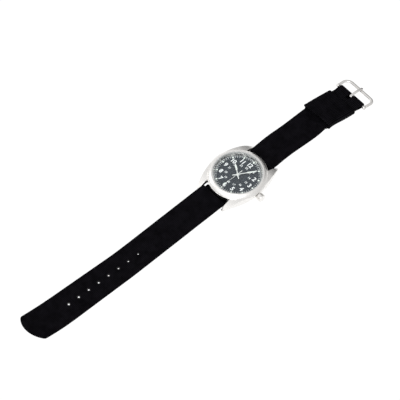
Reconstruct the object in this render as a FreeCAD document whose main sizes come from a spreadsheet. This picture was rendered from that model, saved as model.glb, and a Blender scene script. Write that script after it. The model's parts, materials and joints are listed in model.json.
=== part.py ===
"""Wristwatch: three-hand quartz field watch on a one-piece woven strap.

Frame: millimetres, +Z along the hands' axis towards the crystal, +Y towards 12 o'clock, +X towards
the crown at 3 o'clock. The origin is on the hands' axis, on the underside of the strap, where the
watch rests on a wrist or a table. The strap is laid out flat along Y.
"""

import FreeCAD, Part
import math
import os

import Sketcher

Vector = FreeCAD.Vector
Rotation = FreeCAD.Rotation
Placement = FreeCAD.Placement

X_AXIS = Vector(1, 0, 0)
Z_AXIS = Vector(0, 0, 1)

# ---------------------------------------------------------------------------------------------
# Driving dimensions, in millimetres
# ---------------------------------------------------------------------------------------------

DIMENSIONS = [
    # strap and keeper
    ("strap_width", 20.0), ("strap_thick", 1.1), ("strap_tip_y", 169.5), ("tip_radius", 13.0),
    ("tip_corner", 3.0), ("hole_radius", 1.15), ("first_hole_y", 82.2), ("hole_pitch", 8.0),
    ("hole_count", 8), ("shoulder", 1.6), ("strap_gap", 0.05), ("crest_y", 34.0), ("crest_z", 5.2),
    ("land_y", 95.0), ("rise_end_y", 63.0), ("fold_end_y", 66.2), ("slot_half", 1.45),
    ("slot_start_y", 91.2),
    ("keeper_start_y", 67.5), ("keeper_length", 20.0), ("keeper_room", 1.55), ("keeper_play", 0.15),
    ("keeper_corner", 1.3), ("keeper_crease", 0.2),
    # spring bars
    ("bar_y", 20.9), ("bar_z", 2.5), ("bar_radius", 0.8), ("bar_bore", 0.5), ("bar_half", 9.7),
    ("plunger_radius", 0.45), ("plunger_tip", 0.38), ("plunger_inside", 2.6), ("tip_reach", 0.75),
    ("lug_hole", 0.43), ("spring_radius", 0.36), ("spring_wire", 0.09), ("spring_half", 6.9),
    # case, back and crystal
    ("case_radius", 19.0), ("rim_top", 8.7), ("rim_edge", 6.6), ("rim_lip", 16.5),
    ("flank_low", 3.8), ("foot_radius", 17.6), ("case_bottom", 2.6), ("crystal_bore", 15.95),
    ("crystal_seat", 7.6), ("seat_radius", 15.1), ("seat_under", 7.35), ("case_bore", 15.6),
    ("back_seat", 16.2), ("back_seat_top", 3.58), ("bezel_curve", 4.6),
    ("back_bottom", 1.25), ("back_floor", 1.95), ("back_radius", 16.15), ("back_face", 14.2),
    ("back_top", 3.18), ("back_inside", 15.1), ("crystal_radius", 15.5), ("crystal_top", 8.62),
    ("crystal_dome", 0.15), ("crystal_chamfer", 0.25), ("gasket_top", 8.5),
    ("lug_inner", 10.2), ("lug_tip_x", 11.9), ("lug_tip_y", 23.5), ("lug_low", 1.45),
    ("lug_root_x", 17.65), ("lug_root_y", 6.46), ("lug_root_z", 6.45),
    # crown and stem
    ("stem_z", 4.35), ("stem_radius", 0.45), ("tube_radius", 1.0), ("tube_bore", 0.6),
    ("tube_start", 16.3), ("tube_end", 21.0), ("crown_start", 19.3), ("crown_end", 22.6),
    ("crown_radius", 2.55), ("crown_bore", 1.35), ("crown_depth", 21.2), ("crown_grooves", 28),
    ("groove_start", 8.58), ("groove_end", 8.92), ("square_start", 5.7), ("square_end", 8.4),
    ("square_half", 0.28),
    # dial, rehaut ring and hands
    ("dial_low", 5.65), ("dial_top", 6.05), ("dial_radius", 15.5), ("dial_hole", 0.75),
    ("ring_low", 14.55), ("ring_high", 15.05), ("ring_top", 7.32),
    ("hour_hand_z", 6.45), ("minute_hand_z", 6.85), ("second_hand_z", 7.16), ("hand_thick", 0.12),
    # movement frame
    ("plate_radius", 12.0), ("plate_low", 4.4), ("plate_top", 5.62), ("recess_floor", 4.85),
    ("keyless_floor", 4.95), ("bridge_low", 2.65), ("bridge_top", 2.95), ("holder_low", 2.3),
    ("holder_inner", 12.05), ("holder_outer", 15.5), ("screw_head", 0.6), ("screw_shank", 0.3),
    ("battery_x", -5.6), ("battery_y", 5.6), ("battery_radius", 3.4), ("battery_low", 2.45),
    ("battery_height", 2.6),
    # going train: modules, tooth counts and centre distances
    ("train_module", 0.11), ("minute_module", 0.1), ("hour_module", 0.096), ("rotor_module", 0.12),
    ("third_pinion_module", 0.10389), ("arbor", 0.15), ("bearing", 0.18), ("wheel_thick", 0.15),
    ("train_distance", 3.74), ("rotor_distance", 1.8), ("motion_distance", 2.4),
    ("setting_distance", 2.7),
    # buckle
    ("pin_y", 95.0), ("pin_z", 2.28), ("pin_radius", 0.7), ("pin_half", 12.5), ("eye_radius", 1.35),
    ("eye_bore", 0.74), ("frame_half", 11.65), ("frame_front", 101.3), ("frame_corner", 3.2),
    ("frame_flat", 0.3), ("frame_round", 0.78), ("tongue_half", 1.05), ("tongue_thick", 0.7),
    ("tongue_tip", 102.6), ("eye_width", 1.7),
]

TRAIN_TEETH = {"fourth": 60, "fifth_pinion": 8, "fifth": 24, "rotor_pinion": 6, "fourth_pinion": 8,
               "third": 60, "third_pinion": 8, "centre": 64, "cannon": 12, "minute": 36,
               "minute_pinion": 10, "hour": 40, "setting": 18}

# Where the wheels stand, as degrees anticlockwise from 3 o'clock, seen from the dial side
THIRD_ANGLE = 60.0
FIFTH_ANGLE = 215.0
ROTOR_ANGLE = 240.0
MINUTE_ANGLE = -30.0
SETTING_ANGLE = 15.0

# The time shown at rest: a few minutes past ten, as clockwise angles from 12 o'clock
HOUR_HAND_ANGLE = 302.5
MINUTE_HAND_ANGLE = 31.0
SECOND_HAND_ANGLE = 180.0

BRIDGE_PILLARS = [(5.9, 5.0), (-5.8, -0.6), (1.9, -4.6)]
CLAMP_PILLARS = [(-2.1, 9.1), (-9.1, 2.1)]
LEVER_PIVOT = (9.6, -2.4)
YOKE_PIVOT = (7.9, 2.8)

doc = FreeCAD.newDocument("wristwatch")
sheet = doc.addObject("Spreadsheet::Sheet", "dims")
for row, (alias, value) in enumerate(DIMENSIONS, start=1):
    sheet.set(f"A{row}", str(value))
    sheet.setAlias(f"A{row}", alias)
working = doc.addObject("Spreadsheet::Sheet", "working")
doc.recompute()


class SheetValues:
    """The sheet's numbers by alias, for geometry worked out in Python: dims.case_radius."""

    def __getattr__(self, alias):
        return float(sheet.get(alias))


dims = SheetValues()
sub_parts = []


# ---------------------------------------------------------------------------------------------
# Helpers
# ---------------------------------------------------------------------------------------------

def number(expression):
    """The value that an expression such as "dims.case_radius - 1" has now."""
    if not isinstance(expression, str):
        return float(expression)
    working.set("A1", "=" + expression)
    working.recompute()
    return float(working.get("A1"))


def polar(distance, angle):
    return (distance * math.cos(math.radians(angle)), distance * math.sin(math.radians(angle)))


def tip(body, feature):
    """Recomputes and makes the feature the body's result."""
    body.Tip = feature
    doc.recompute()
    if feature.Shape.isNull() or not feature.Shape.isValid():
        raise RuntimeError(f"{body.Label}: {feature.Name} has no valid shape")
    return feature


def new_body(label, place=(0, 0, 0), turn=0.0):
    """A PartDesign body; each entry of place is a number or an expression."""
    body = doc.addObject("PartDesign::Body", label)
    body.Label = label
    body.Placement = Placement(Vector(*[number(p) for p in place]), Rotation(Z_AXIS, turn))
    for axis, entry in zip("xyz", place):
        if isinstance(entry, str):
            body.setExpression(f"Placement.Base.{axis}", entry)
    sub_parts.append(body)
    return body


def sketch_on(body, role, level="0", name="outline"):
    """A sketch on one of the body's own origin planes, moved along its normal by level."""
    sketch = body.newObject("Sketcher::SketchObject", name)
    plane = [f for f in body.Origin.OriginFeatures if f.Role == role][0]
    sketch.AttachmentSupport = [(plane, "")]
    sketch.MapMode = "FlatFace"
    sketch.AttachmentOffset = Placement(Vector(0, 0, number(level)), Rotation())
    sketch.setExpression("AttachmentOffset.Base.z", str(level))
    return sketch


def free_sketch(name, rotation=Rotation()):
    """A sketch that stands outside any body, for the Part workbench's extrusions."""
    sketch = doc.addObject("Sketcher::SketchObject", name)
    sketch.Placement = Placement(Vector(), rotation)
    return sketch


def bind(sketch, constraint, name, expression):
    index = sketch.addConstraint(constraint)
    sketch.renameConstraint(index, name)
    sketch.setExpression(f"Constraints.{name}", str(expression))


def corner_edge(start, end, radius):
    """A line, or an arc of that radius. A positive radius bulges to the right of the way along."""
    if not radius:
        return Part.LineSegment(Vector(*start), Vector(*end)), 1, 2
    a, b = Vector(*start), Vector(*end)
    chord = b - a
    left = Vector(-chord.y, chord.x, 0).normalize()
    height = math.sqrt(max(radius ** 2 - chord.Length ** 2 / 4, 0))
    centre = (a + b) / 2 + left * math.copysign(height, radius)
    first, last = (a, b) if radius > 0 else (b, a)
    angles = [math.atan2(p.y - centre.y, p.x - centre.x) for p in (first, last)]
    if angles[1] < angles[0]:
        angles[1] += 2 * math.pi
    arc = Part.ArcOfCircle(Part.Circle(centre, Z_AXIS, abs(radius)), *angles)
    return (arc, 1, 2) if radius > 0 else (arc, 2, 1)


def outline(sketch, corners, closed=True):
    """Lines and arcs through corners whose places are expressions bound to the sheet.

    A corner is (x, y), or (x, y, radius) where the edge that leaves it is an arc.
    """
    tag = sketch.GeometryCount
    places = [(number(c[0]), number(c[1])) for c in corners]
    ends = []
    count = len(corners) if closed else len(corners) - 1
    for i in range(count):
        radius = number(corners[i][2]) if len(corners[i]) > 2 else 0
        edge, first, last = corner_edge(places[i], places[(i + 1) % len(corners)], radius)
        ends.append((sketch.addGeometry(edge), first, last))
    for i in range(count if closed else count - 1):
        here, after = ends[i], ends[(i + 1) % count]
        sketch.addConstraint(
            Sketcher.Constraint("Coincident", here[0], here[2], after[0], after[1]))
    for i, corner in enumerate(corners):
        edge, point = (ends[i][0], ends[i][1]) if i < count else (ends[-1][0], ends[-1][2])
        for axis, entry, value in (("X", corner[0], places[i][0]), ("Y", corner[1], places[i][1])):
            bind(sketch, Sketcher.Constraint("Distance" + axis, -1, 1, edge, point, value),
                 f"c{tag}{axis}{i}", entry)
        if len(corner) > 2:
            size = f"abs({corner[2]})"
            bind(sketch, Sketcher.Constraint("Radius", ends[i][0], number(size)),
                 f"r{tag}n{i}", size)
    return sketch


def circle(sketch, radius, x="0", y="0"):
    tag = sketch.GeometryCount
    shape = Part.Circle(Vector(number(x), number(y), 0), Z_AXIS, number(radius))
    index = sketch.addGeometry(shape)
    bind(sketch, Sketcher.Constraint("Radius", index, number(radius)), f"r{tag}", radius)
    bind(sketch, Sketcher.Constraint("DistanceX", -1, 1, index, 3, number(x)), f"x{tag}", x)
    bind(sketch, Sketcher.Constraint("DistanceY", -1, 1, index, 3, number(y)), f"y{tag}", y)
    return sketch


def revolve(body, corners, about="V_Axis", name="turned"):
    """Turns a profile in the XZ plane about Z (V_Axis) or X (H_Axis)."""
    profile = outline(sketch_on(body, "XZ_Plane", name=name + "_profile"), corners)
    feature = body.newObject("PartDesign::Revolution", name)
    feature.Profile = profile
    feature.ReferenceAxis = (profile, [about])
    feature.Angle = 360
    return tip(body, feature)


def pad(body, sketch, length, name="pad"):
    feature = body.newObject("PartDesign::Pad", name)
    feature.Profile = sketch
    feature.Length = number(length)
    feature.setExpression("Length", str(length))
    return tip(body, feature)


def cut(body, sketch, length, name="cut", reverse=True):
    """A pocket; reverse=True cuts along the sketch's normal. It has to remove something."""
    before = body.Shape.Volume
    feature = body.newObject("PartDesign::Pocket", name)
    feature.Profile = sketch
    feature.Length = number(length)
    feature.setExpression("Length", str(length))
    feature.Reversed = reverse
    tip(body, feature)
    if body.Shape.Volume > before - 1e-6:
        raise RuntimeError(f"{body.Label}: {name} cuts nothing")
    return feature


def pattern(body, features, axis_sketch, count, name="pattern"):
    feature = body.newObject("PartDesign::PolarPattern", name)
    feature.Originals = features
    feature.Axis = (axis_sketch, ["N_Axis"])
    feature.Angle = 360
    feature.Occurrences = int(count)
    return tip(body, feature)


def teeth(body, module, count, low, thick, name):
    """Tapered teeth around Z from z = low, on a blank that reaches the root circle."""
    pitch = f"{module} * {count} / 2"
    root, top = f"{pitch} - 1.25 * {module}", f"{pitch} + 0.9 * {module}"
    shape = sketch_on(body, "XY_Plane", low, name + "_tooth_profile")
    outline(shape, [
        (root, f"-0.95 * {module}"), (pitch, f"-0.7 * {module}"), (top, f"-0.26 * {module}"),
        (top, f"0.26 * {module}"), (pitch, f"0.7 * {module}"), (root, f"0.95 * {module}")])
    tooth = pad(body, shape, thick, name + "_tooth")
    return pattern(body, [tooth], shape, count, name + "_teeth")


def root_radius(module, count):
    return f"{module} * {count} / 2 - 1.1 * {module}"


def mesh_turn(first_turn, first_teeth, second_teeth, direction):
    """How far to turn a gear so that it meshes with one standing the other way along direction."""
    phase = 180.0 - first_teeth * (direction - first_turn)
    return direction + 180.0 - phase / second_teeth


def round_edges(body, radius, chosen, name="rounding"):
    """A fillet on the edges of the body's result that chosen(edge) picks."""
    base = body.Tip
    names = [f"Edge{i + 1}" for i, edge in enumerate(base.Shape.Edges) if chosen(edge)]
    if not names:
        raise RuntimeError(f"{body.Label}: {name} finds no edge")
    feature = body.newObject("PartDesign::Fillet", name)
    feature.Base = (base, names)
    feature.Radius = number(radius)
    feature.setExpression("Radius", str(radius))
    return tip(body, feature)


def upright(edge):
    """True for a straight edge along Z."""
    low, high = edge.BoundBox.ZMin, edge.BoundBox.ZMax
    flat = edge.BoundBox.XLength + edge.BoundBox.YLength
    return flat < 1e-6 < high - low


def lies_flat(edge):
    """True for an edge in a level plane that is not one of the short ends."""
    return edge.BoundBox.ZLength < 1e-6 and edge.BoundBox.DiagonalLength > 2.5


def shape_part(label, shape, place=Placement()):
    """A Part::Feature for a bent ribbon or a coil, which have no sketch-based form."""
    feature = doc.addObject("Part::Feature", label)
    feature.Label = label
    feature.Shape = shape
    feature.Placement = place
    sub_parts.append(feature)
    return feature


def ribbon(points, radii, thickness, width):
    """A strap of even thickness that follows points in the YZ plane, rounded at each corner."""
    vectors = [Vector(0, y, z) for y, z in points]
    edges, caps = [], []
    for offset in (thickness / 2, -thickness / 2):
        last = None
        for i, corner in enumerate(vectors):
            into = (corner - vectors[i - 1]).normalize() if i else None
            away = (vectors[i + 1] - corner).normalize() if i < len(vectors) - 1 else None
            if into is None or away is None:
                way = away or into
                here = [corner + Vector(0, -way.z, way.y) * offset]
            else:
                turn = math.atan2(into.y * away.z - into.z * away.y, into.dot(away))
                back = radii[i] * math.tan(abs(turn) / 2)
                starts = corner - into * back + Vector(0, -into.z, into.y) * offset
                ends = corner + away * back + Vector(0, -away.z, away.y) * offset
                side = math.copysign(1, turn)
                centre = corner - into * back + Vector(0, -into.z, into.y) * radii[i] * side
                reach = radii[i] - offset * side
                middle = ((starts + ends) / 2 - centre).normalize() * reach + centre
                here = [starts, middle, ends]
            if last is not None and last.distanceToPoint(here[0]) > 1e-6:
                edges.append(Part.makeLine(last, here[0]))
            if len(here) == 3:
                edges.append(Part.Arc(*here).toShape())
            if last is None:
                caps.append(here[0])
            last = here[-1]
        caps.append(last)
    edges += [Part.makeLine(caps[0], caps[2]), Part.makeLine(caps[1], caps[3])]
    wire = Part.Wire(Part.__sortEdges__(edges))
    solid = Part.Face(wire).extrude(Vector(width, 0, 0))
    solid.translate(Vector(-width / 2, 0, 0))
    return solid


# ---------------------------------------------------------------------------------------------
# Case, back and crystal
# ---------------------------------------------------------------------------------------------

SIDE_VIEW = Rotation(Vector(1, 1, 1), 120)      # sketch x along Y, sketch y along Z
FRONT_VIEW = Rotation(X_AXIS, 90)               # sketch x along X, sketch y along Z


def extrusion(name, sketch, direction, length, symmetric=False):
    feature = doc.addObject("Part::Extrusion", name)
    feature.Base = sketch
    feature.DirMode = "Custom"
    feature.Dir = direction
    feature.Solid = True
    feature.Symmetric = symmetric
    feature.LengthFwd = number(length)
    feature.setExpression("LengthFwd", str(length))
    return feature


def turned(name, corners):
    profile = outline(free_sketch(name + "_profile", FRONT_VIEW), corners)
    feature = doc.addObject("Part::Revolution", name)
    feature.Source = profile
    feature.Axis = Z_AXIS
    feature.Angle = 360
    feature.Solid = True
    return feature


def rod(name, radius, length, place, axis=X_AXIS):
    feature = doc.addObject("Part::Cylinder", name)
    feature.Placement = Placement(Vector(*[number(p) for p in place]), Rotation(Z_AXIS, axis))
    for key, entry in (("Radius", radius), ("Height", length)):
        setattr(feature, key, number(entry))
        feature.setExpression(key, str(entry))
    for axis_name, entry in zip("xyz", place):
        feature.setExpression(f"Placement.Base.{axis_name}", str(entry))
    return feature


def case_lug():
    """One lug, at 12 o'clock on the crown side: its plan and its side view in common."""
    plan = outline(free_sketch("lug_plan"), [
        ("dims.lug_inner", "9"), ("14", "4"), ("dims.lug_root_x", "dims.lug_root_y", "62"),
        ("dims.lug_tip_x", "dims.lug_tip_y - 0.7", "0.8"),
        ("dims.lug_tip_x - 0.75", "dims.lug_tip_y"), ("dims.lug_inner", "dims.lug_tip_y")])
    side = outline(free_sketch("lug_side", SIDE_VIEW), [
        ("3", "dims.case_bottom"), ("17", "dims.case_bottom", "-20"),
        ("dims.lug_tip_y - 0.4", "dims.lug_low", "0.6"), ("dims.lug_tip_y", "dims.lug_low + 0.7", "18"),
        ("13.6", "dims.lug_root_z", "0 + 60"), ("3", "dims.lug_root_z + 0.6")])
    lug = doc.addObject("Part::MultiCommon", "lug")
    lug.Shapes = [extrusion("lug_plan_solid", plan, Z_AXIS, "12"),
                  extrusion("lug_side_solid", side, X_AXIS, "60", True)]
    return lug


def mirrored(name, source, normal):
    feature = doc.addObject("Part::Mirroring", name)
    feature.Source = source
    feature.Normal = normal
    return feature


def case_body():
    """The middle case: a domed bezel and flank turned in one piece, with four lugs."""
    shell = turned("case_shell", [
        ("0", "dims.case_bottom"), ("dims.foot_radius", "dims.case_bottom", "3.2"),
        ("dims.case_radius - 0.1", "dims.flank_low"),
        ("dims.case_radius", "dims.rim_edge - 0.25", "0.3"),
        ("dims.case_radius - 0.25", "dims.rim_edge", "dims.bezel_curve"),
        ("dims.rim_lip", "dims.rim_top"), ("0", "dims.rim_top")])
    lug = case_lug()
    twin = mirrored("lug_left", lug, Vector(1, 0, 0))
    pair = doc.addObject("Part::MultiFuse", "lug_pair")
    pair.Shapes = [lug, twin]
    blank = doc.addObject("Part::MultiFuse", "case_blank")
    blank.Shapes = [shell, pair, mirrored("lug_pair_low", pair, Vector(0, 1, 0))]
    inside = turned("case_inside", [
        ("0", "dims.case_bottom - 1"), ("dims.back_seat", "dims.case_bottom - 1"),
        ("dims.back_seat", "dims.back_seat_top"), ("dims.case_bore", "dims.back_seat_top"),
        ("dims.case_bore", "dims.seat_under"), ("dims.seat_radius", "dims.seat_under"),
        ("dims.seat_radius", "dims.crystal_seat"), ("dims.crystal_bore", "dims.crystal_seat"),
        ("dims.crystal_bore", "dims.rim_top + 1"), ("0", "dims.rim_top + 1")])
    reach = "dims.lug_inner + dims.tip_reach + 0.15"
    cutters = [inside,
               rod("tube_hole", "dims.tube_radius", "9", ("14", "0", "dims.stem_z")),
               rod("bar_hole_12", "dims.lug_hole", f"2 * ({reach})",
                   (f"-({reach})", "dims.bar_y", "dims.bar_z")),
               rod("bar_hole_6", "dims.lug_hole", f"2 * ({reach})",
                   (f"-({reach})", "-dims.bar_y", "dims.bar_z"))]
    tools = doc.addObject("Part::MultiFuse", "case_cutters")
    tools.Shapes = cutters
    case = doc.addObject("Part::Cut", "case_cut")
    case.Base = blank
    case.Tool = tools
    doc.recompute()
    soft = doc.addObject("Part::Fillet", "case_body")
    soft.Base = case
    soft.Edges = [(i + 1, 0.25, 0.25) for i, edge in enumerate(case.Shape.Edges)
                  if lug_outer_edge(edge)]
    soft.Label = "case_body"
    sub_parts.append(soft)


def lug_outer_edge(edge):
    """True for the long upper edges of the lugs' outer and inner faces."""
    box = edge.BoundBox
    far = min(abs(box.YMin), abs(box.YMax)) > 19.3 or max(abs(box.YMin), abs(box.YMax)) > 23
    slopes = box.YLength > 2.5 and box.ZLength > 1.5
    return far and slopes and min(abs(box.XMin), abs(box.XMax)) > dims.lug_inner - 0.01


def case_back():
    """Screw-down back with six key slots around its flat face."""
    body = new_body("case_back")
    revolve(body, [
        ("0", "dims.back_bottom"), ("dims.back_face", "dims.back_bottom", "4"),
        ("dims.back_radius", "dims.back_bottom + 1"), ("dims.back_radius", "dims.back_top"),
        ("dims.back_inside", "dims.back_top"), ("dims.back_inside", "dims.back_floor"),
        ("0", "dims.back_floor")])
    slot = sketch_on(body, "XY_Plane", "dims.back_bottom", "key_slot_profile")
    outline(slot, [("dims.back_face - 2", "-0.8"), ("dims.back_face - 0.7", "-0.8"),
                   ("dims.back_face - 0.7", "0.8"), ("dims.back_face - 2", "0.8")])
    pocket = cut(body, slot, "0.35", "key_slot")
    pattern(body, [pocket], slot, 6, "key_slots")


def seals():
    for label, inner, outer, low, high in (
            ("case_back_gasket", "dims.case_bore + 0.05", "dims.back_radius", "dims.back_top + 0.02",
             "dims.back_seat_top - 0.02"),
            ("crystal_gasket", "dims.crystal_radius", "dims.crystal_bore", "dims.crystal_seat",
             "dims.gasket_top")):
        body = new_body(label)
        revolve(body, [(inner, low), (outer, low), (outer, high), (inner, high)])


def crystal():
    """Slightly domed mineral glass: the dome is part of a sphere centred on the hands' axis."""
    body = new_body("crystal")
    rise, edge = "dims.crystal_dome", "(dims.crystal_radius - dims.crystal_chamfer)"
    rim = f"dims.crystal_top - {rise}"
    revolve(body, [
        ("0", "dims.crystal_seat"), ("dims.crystal_radius", "dims.crystal_seat"),
        ("dims.crystal_radius", f"{rim} - dims.crystal_chamfer"),
        (edge, rim, f"({edge} * {edge} + {rise} * {rise}) / (2 * {rise})"),
        ("0", "dims.crystal_top")])


# ---------------------------------------------------------------------------------------------
# Crown and stem
# ---------------------------------------------------------------------------------------------

def crown_tube():
    body = new_body("crown_tube", ("0", "0", "dims.stem_z"))
    revolve(body, [("dims.tube_start", "dims.tube_bore"), ("dims.tube_end", "dims.tube_bore"),
                   ("dims.tube_end", "dims.tube_radius"), ("dims.tube_start", "dims.tube_radius")],
            "H_Axis")


def crown():
    body = new_body("crown", ("0", "0", "dims.stem_z"))
    blind = "dims.crown_end - 0.7"
    revolve(body, [
        ("dims.crown_start", "dims.crown_bore"), ("dims.crown_start", "dims.crown_radius - 0.35"),
        ("dims.crown_start + 0.35", "dims.crown_radius"),
        ("dims.crown_end - 0.5", "dims.crown_radius", "-0.6"),
        ("dims.crown_end", "dims.crown_radius - 0.55"), ("dims.crown_end + 0.12", "0"),
        (blind, "0"), (blind, "dims.stem_radius"), ("dims.crown_depth", "dims.stem_radius"),
        ("dims.crown_depth", "dims.crown_bore")], "H_Axis")
    notch = sketch_on(body, "YZ_Plane", "dims.crown_start - 0.1", "grip_notch_profile")
    outline(notch, [("-0.17", "dims.crown_radius + 0.1"), ("-0.05", "dims.crown_radius - 0.2"),
                    ("0.05", "dims.crown_radius - 0.2"), ("0.17", "dims.crown_radius + 0.1")])
    groove_cut = cut(body, notch, "dims.crown_end - dims.crown_start", "grip_notch")
    pattern(body, [groove_cut], notch, dims.crown_grooves, "grip")


def crown_gasket():
    body = new_body("crown_gasket", ("0", "0", "dims.stem_z"))
    start, wide = "dims.crown_start + 0.25", "0.42"
    revolve(body, [(start, "dims.tube_radius + 0.02"), (f"{start} + {wide}", "dims.tube_radius + 0.02"),
                   (f"{start} + {wide}", "dims.crown_bore - 0.01"), (start, "dims.crown_bore - 0.01")],
            "H_Axis")


def stem():
    """Winding stem: pilot, square for the sliding pinion, lever groove and threaded end."""
    body = new_body("stem", ("0", "0", "dims.stem_z"))
    revolve(body, [
        ("dims.square_start - 0.5", "0"), ("dims.crown_end - 0.7", "0"),
        ("dims.crown_end - 0.7", "dims.stem_radius"), ("dims.groove_end", "dims.stem_radius"),
        ("dims.groove_end", "0.28"), ("dims.groove_start", "0.28"),
        ("dims.groove_start", "dims.stem_radius"), ("dims.square_end", "dims.stem_radius"),
        ("dims.square_end", "0.2"), ("dims.square_start - 0.5", "0.2")], "H_Axis")
    flat = sketch_on(body, "YZ_Plane", "dims.square_start", "square_profile")
    half = "dims.square_half"
    outline(flat, [(f"-{half}", f"-{half}"), (half, f"-{half}"), (half, half), (f"-{half}", half)])
    pad(body, flat, "dims.square_end - dims.square_start", "square")


def sliding_pinion():
    body = new_body("sliding_pinion", ("0", "0", "dims.stem_z"))
    revolve(body, [
        ("6.27", "0"), ("7.97", "0"), ("7.97", "0.75"), ("7.55", "0.75"), ("7.55", "0.5"),
        ("7.15", "0.5"), ("7.15", "0.75"), ("6.27", "0.75")], "H_Axis")
    face = sketch_on(body, "YZ_Plane", "6.05", "face_tooth_profile")
    outline(face, [("0.5", "-0.1"), ("0.75", "-0.1"), ("0.75", "0.1"), ("0.5", "0.1")])
    tooth = pad(body, face, "0.3", "face_tooth")
    pattern(body, [tooth], face, 8, "face_teeth")
    hole = sketch_on(body, "YZ_Plane", "5.5", "square_hole_profile")
    half = "dims.square_half + 0.03"
    outline(hole, [(f"-({half})", f"-({half})"), (half, f"-({half})"), (half, half),
                   (f"-({half})", half)])
    cut(body, hole, "2.5", "square_hole")


# ---------------------------------------------------------------------------------------------
# Dial, rehaut ring and hands
# ---------------------------------------------------------------------------------------------

def dial():
    body = new_body("dial")
    revolve(body, [("dims.dial_hole", "dims.dial_low"), ("dims.dial_radius", "dims.dial_low"),
                   ("dims.dial_radius", "dims.dial_top"), ("dims.dial_hole", "dims.dial_top")])


def dial_ring():
    """The polished ring that slopes from the dial up to the crystal."""
    body = new_body("dial_ring")
    revolve(body, [("dims.ring_low", "dims.dial_top + 0.01"), ("dims.dial_radius", "dims.dial_top + 0.01"),
                   ("dims.dial_radius", "dims.ring_top"), ("dims.ring_high", "dims.ring_top")])


def dial_washer():
    body = new_body("dial_washer")
    revolve(body, [("0.72", "5.42"), ("1.5", "5.42"), ("1.5", "5.5"), ("0.72", "5.5")])


def hand(label, level, hub, hole, boss_low, clock_angle, corners):
    """A hand: a flat blade drawn towards 12 o'clock, on a tube that presses on its arbor."""
    body = new_body(label, turn=-clock_angle)
    blade = sketch_on(body, "XY_Plane", level, "blade_profile")
    outline(blade, corners)
    pad(body, blade, "dims.hand_thick", "blade")
    disc = sketch_on(body, "XY_Plane", boss_low, "boss_profile")
    circle(disc, hub)
    pad(body, disc, f"{level} + dims.hand_thick - ({boss_low})", "boss")
    bore = sketch_on(body, "XY_Plane", f"{boss_low} - 1", "bore_profile")
    circle(bore, hole)
    cut(body, bore, "3", "bore")


def blade_outline(stations):
    """A closed outline from half widths at distances along the hand."""
    right = [(f"{half}", f"{along}") for along, half in stations]
    left = [(f"-{half}", f"{along}") for along, half in reversed(stations) if half]
    return right + left


def hands():
    hand("hour_hand", "dims.hour_hand_z", "1.05", "0.65", "dims.hour_hand_z - 0.1",
         HOUR_HAND_ANGLE,
         blade_outline([(-3.3, 0.3), (0, 0.32), (3.2, 0.26), (4.2, 0.6), (7.2, 0.5), (8.0, 0.14),
                        (9.0, 0.06)]))
    hand("minute_hand", "dims.minute_hand_z", "0.85", "0.45", "dims.minute_hand_z - 0.1",
         MINUTE_HAND_ANGLE,
         blade_outline([(-3.4, 0.3), (0, 0.28), (5.6, 0.24), (6.6, 0.52), (10.8, 0.42),
                        (11.6, 0.13), (12.8, 0.05)]))
    hand("second_hand", "dims.second_hand_z", "0.5", "0.12", "dims.second_hand_z - 0.06",
         SECOND_HAND_ANGLE,
         blade_outline([(-3.7, 0.26), (-1.4, 0.14), (7.7, 0.1), (8.05, 0.42), (8.65, 0.42),
                        (8.95, 0.12), (9.5, 0.2), (10.6, 0.62), (11.6, 0.6), (12.3, 0.16)]))


# ---------------------------------------------------------------------------------------------
# Movement: frame, power and electronics
# ---------------------------------------------------------------------------------------------

def movement_holder():
    body = new_body("movement_holder")
    revolve(body, [("dims.holder_inner", "dims.holder_low"), ("dims.back_inside - 0.05", "dims.holder_low"),
                   ("dims.back_inside - 0.05", "dims.back_seat_top"),
                   ("dims.holder_outer", "dims.back_seat_top"), ("dims.holder_outer", "dims.plate_top"),
                   ("dims.holder_inner", "dims.plate_top")])
    hole = sketch_on(body, "YZ_Plane", "11", "stem_hole_profile")
    circle(hole, "0.7", "0", "dims.stem_z")
    cut(body, hole, "6", "stem_hole")


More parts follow.
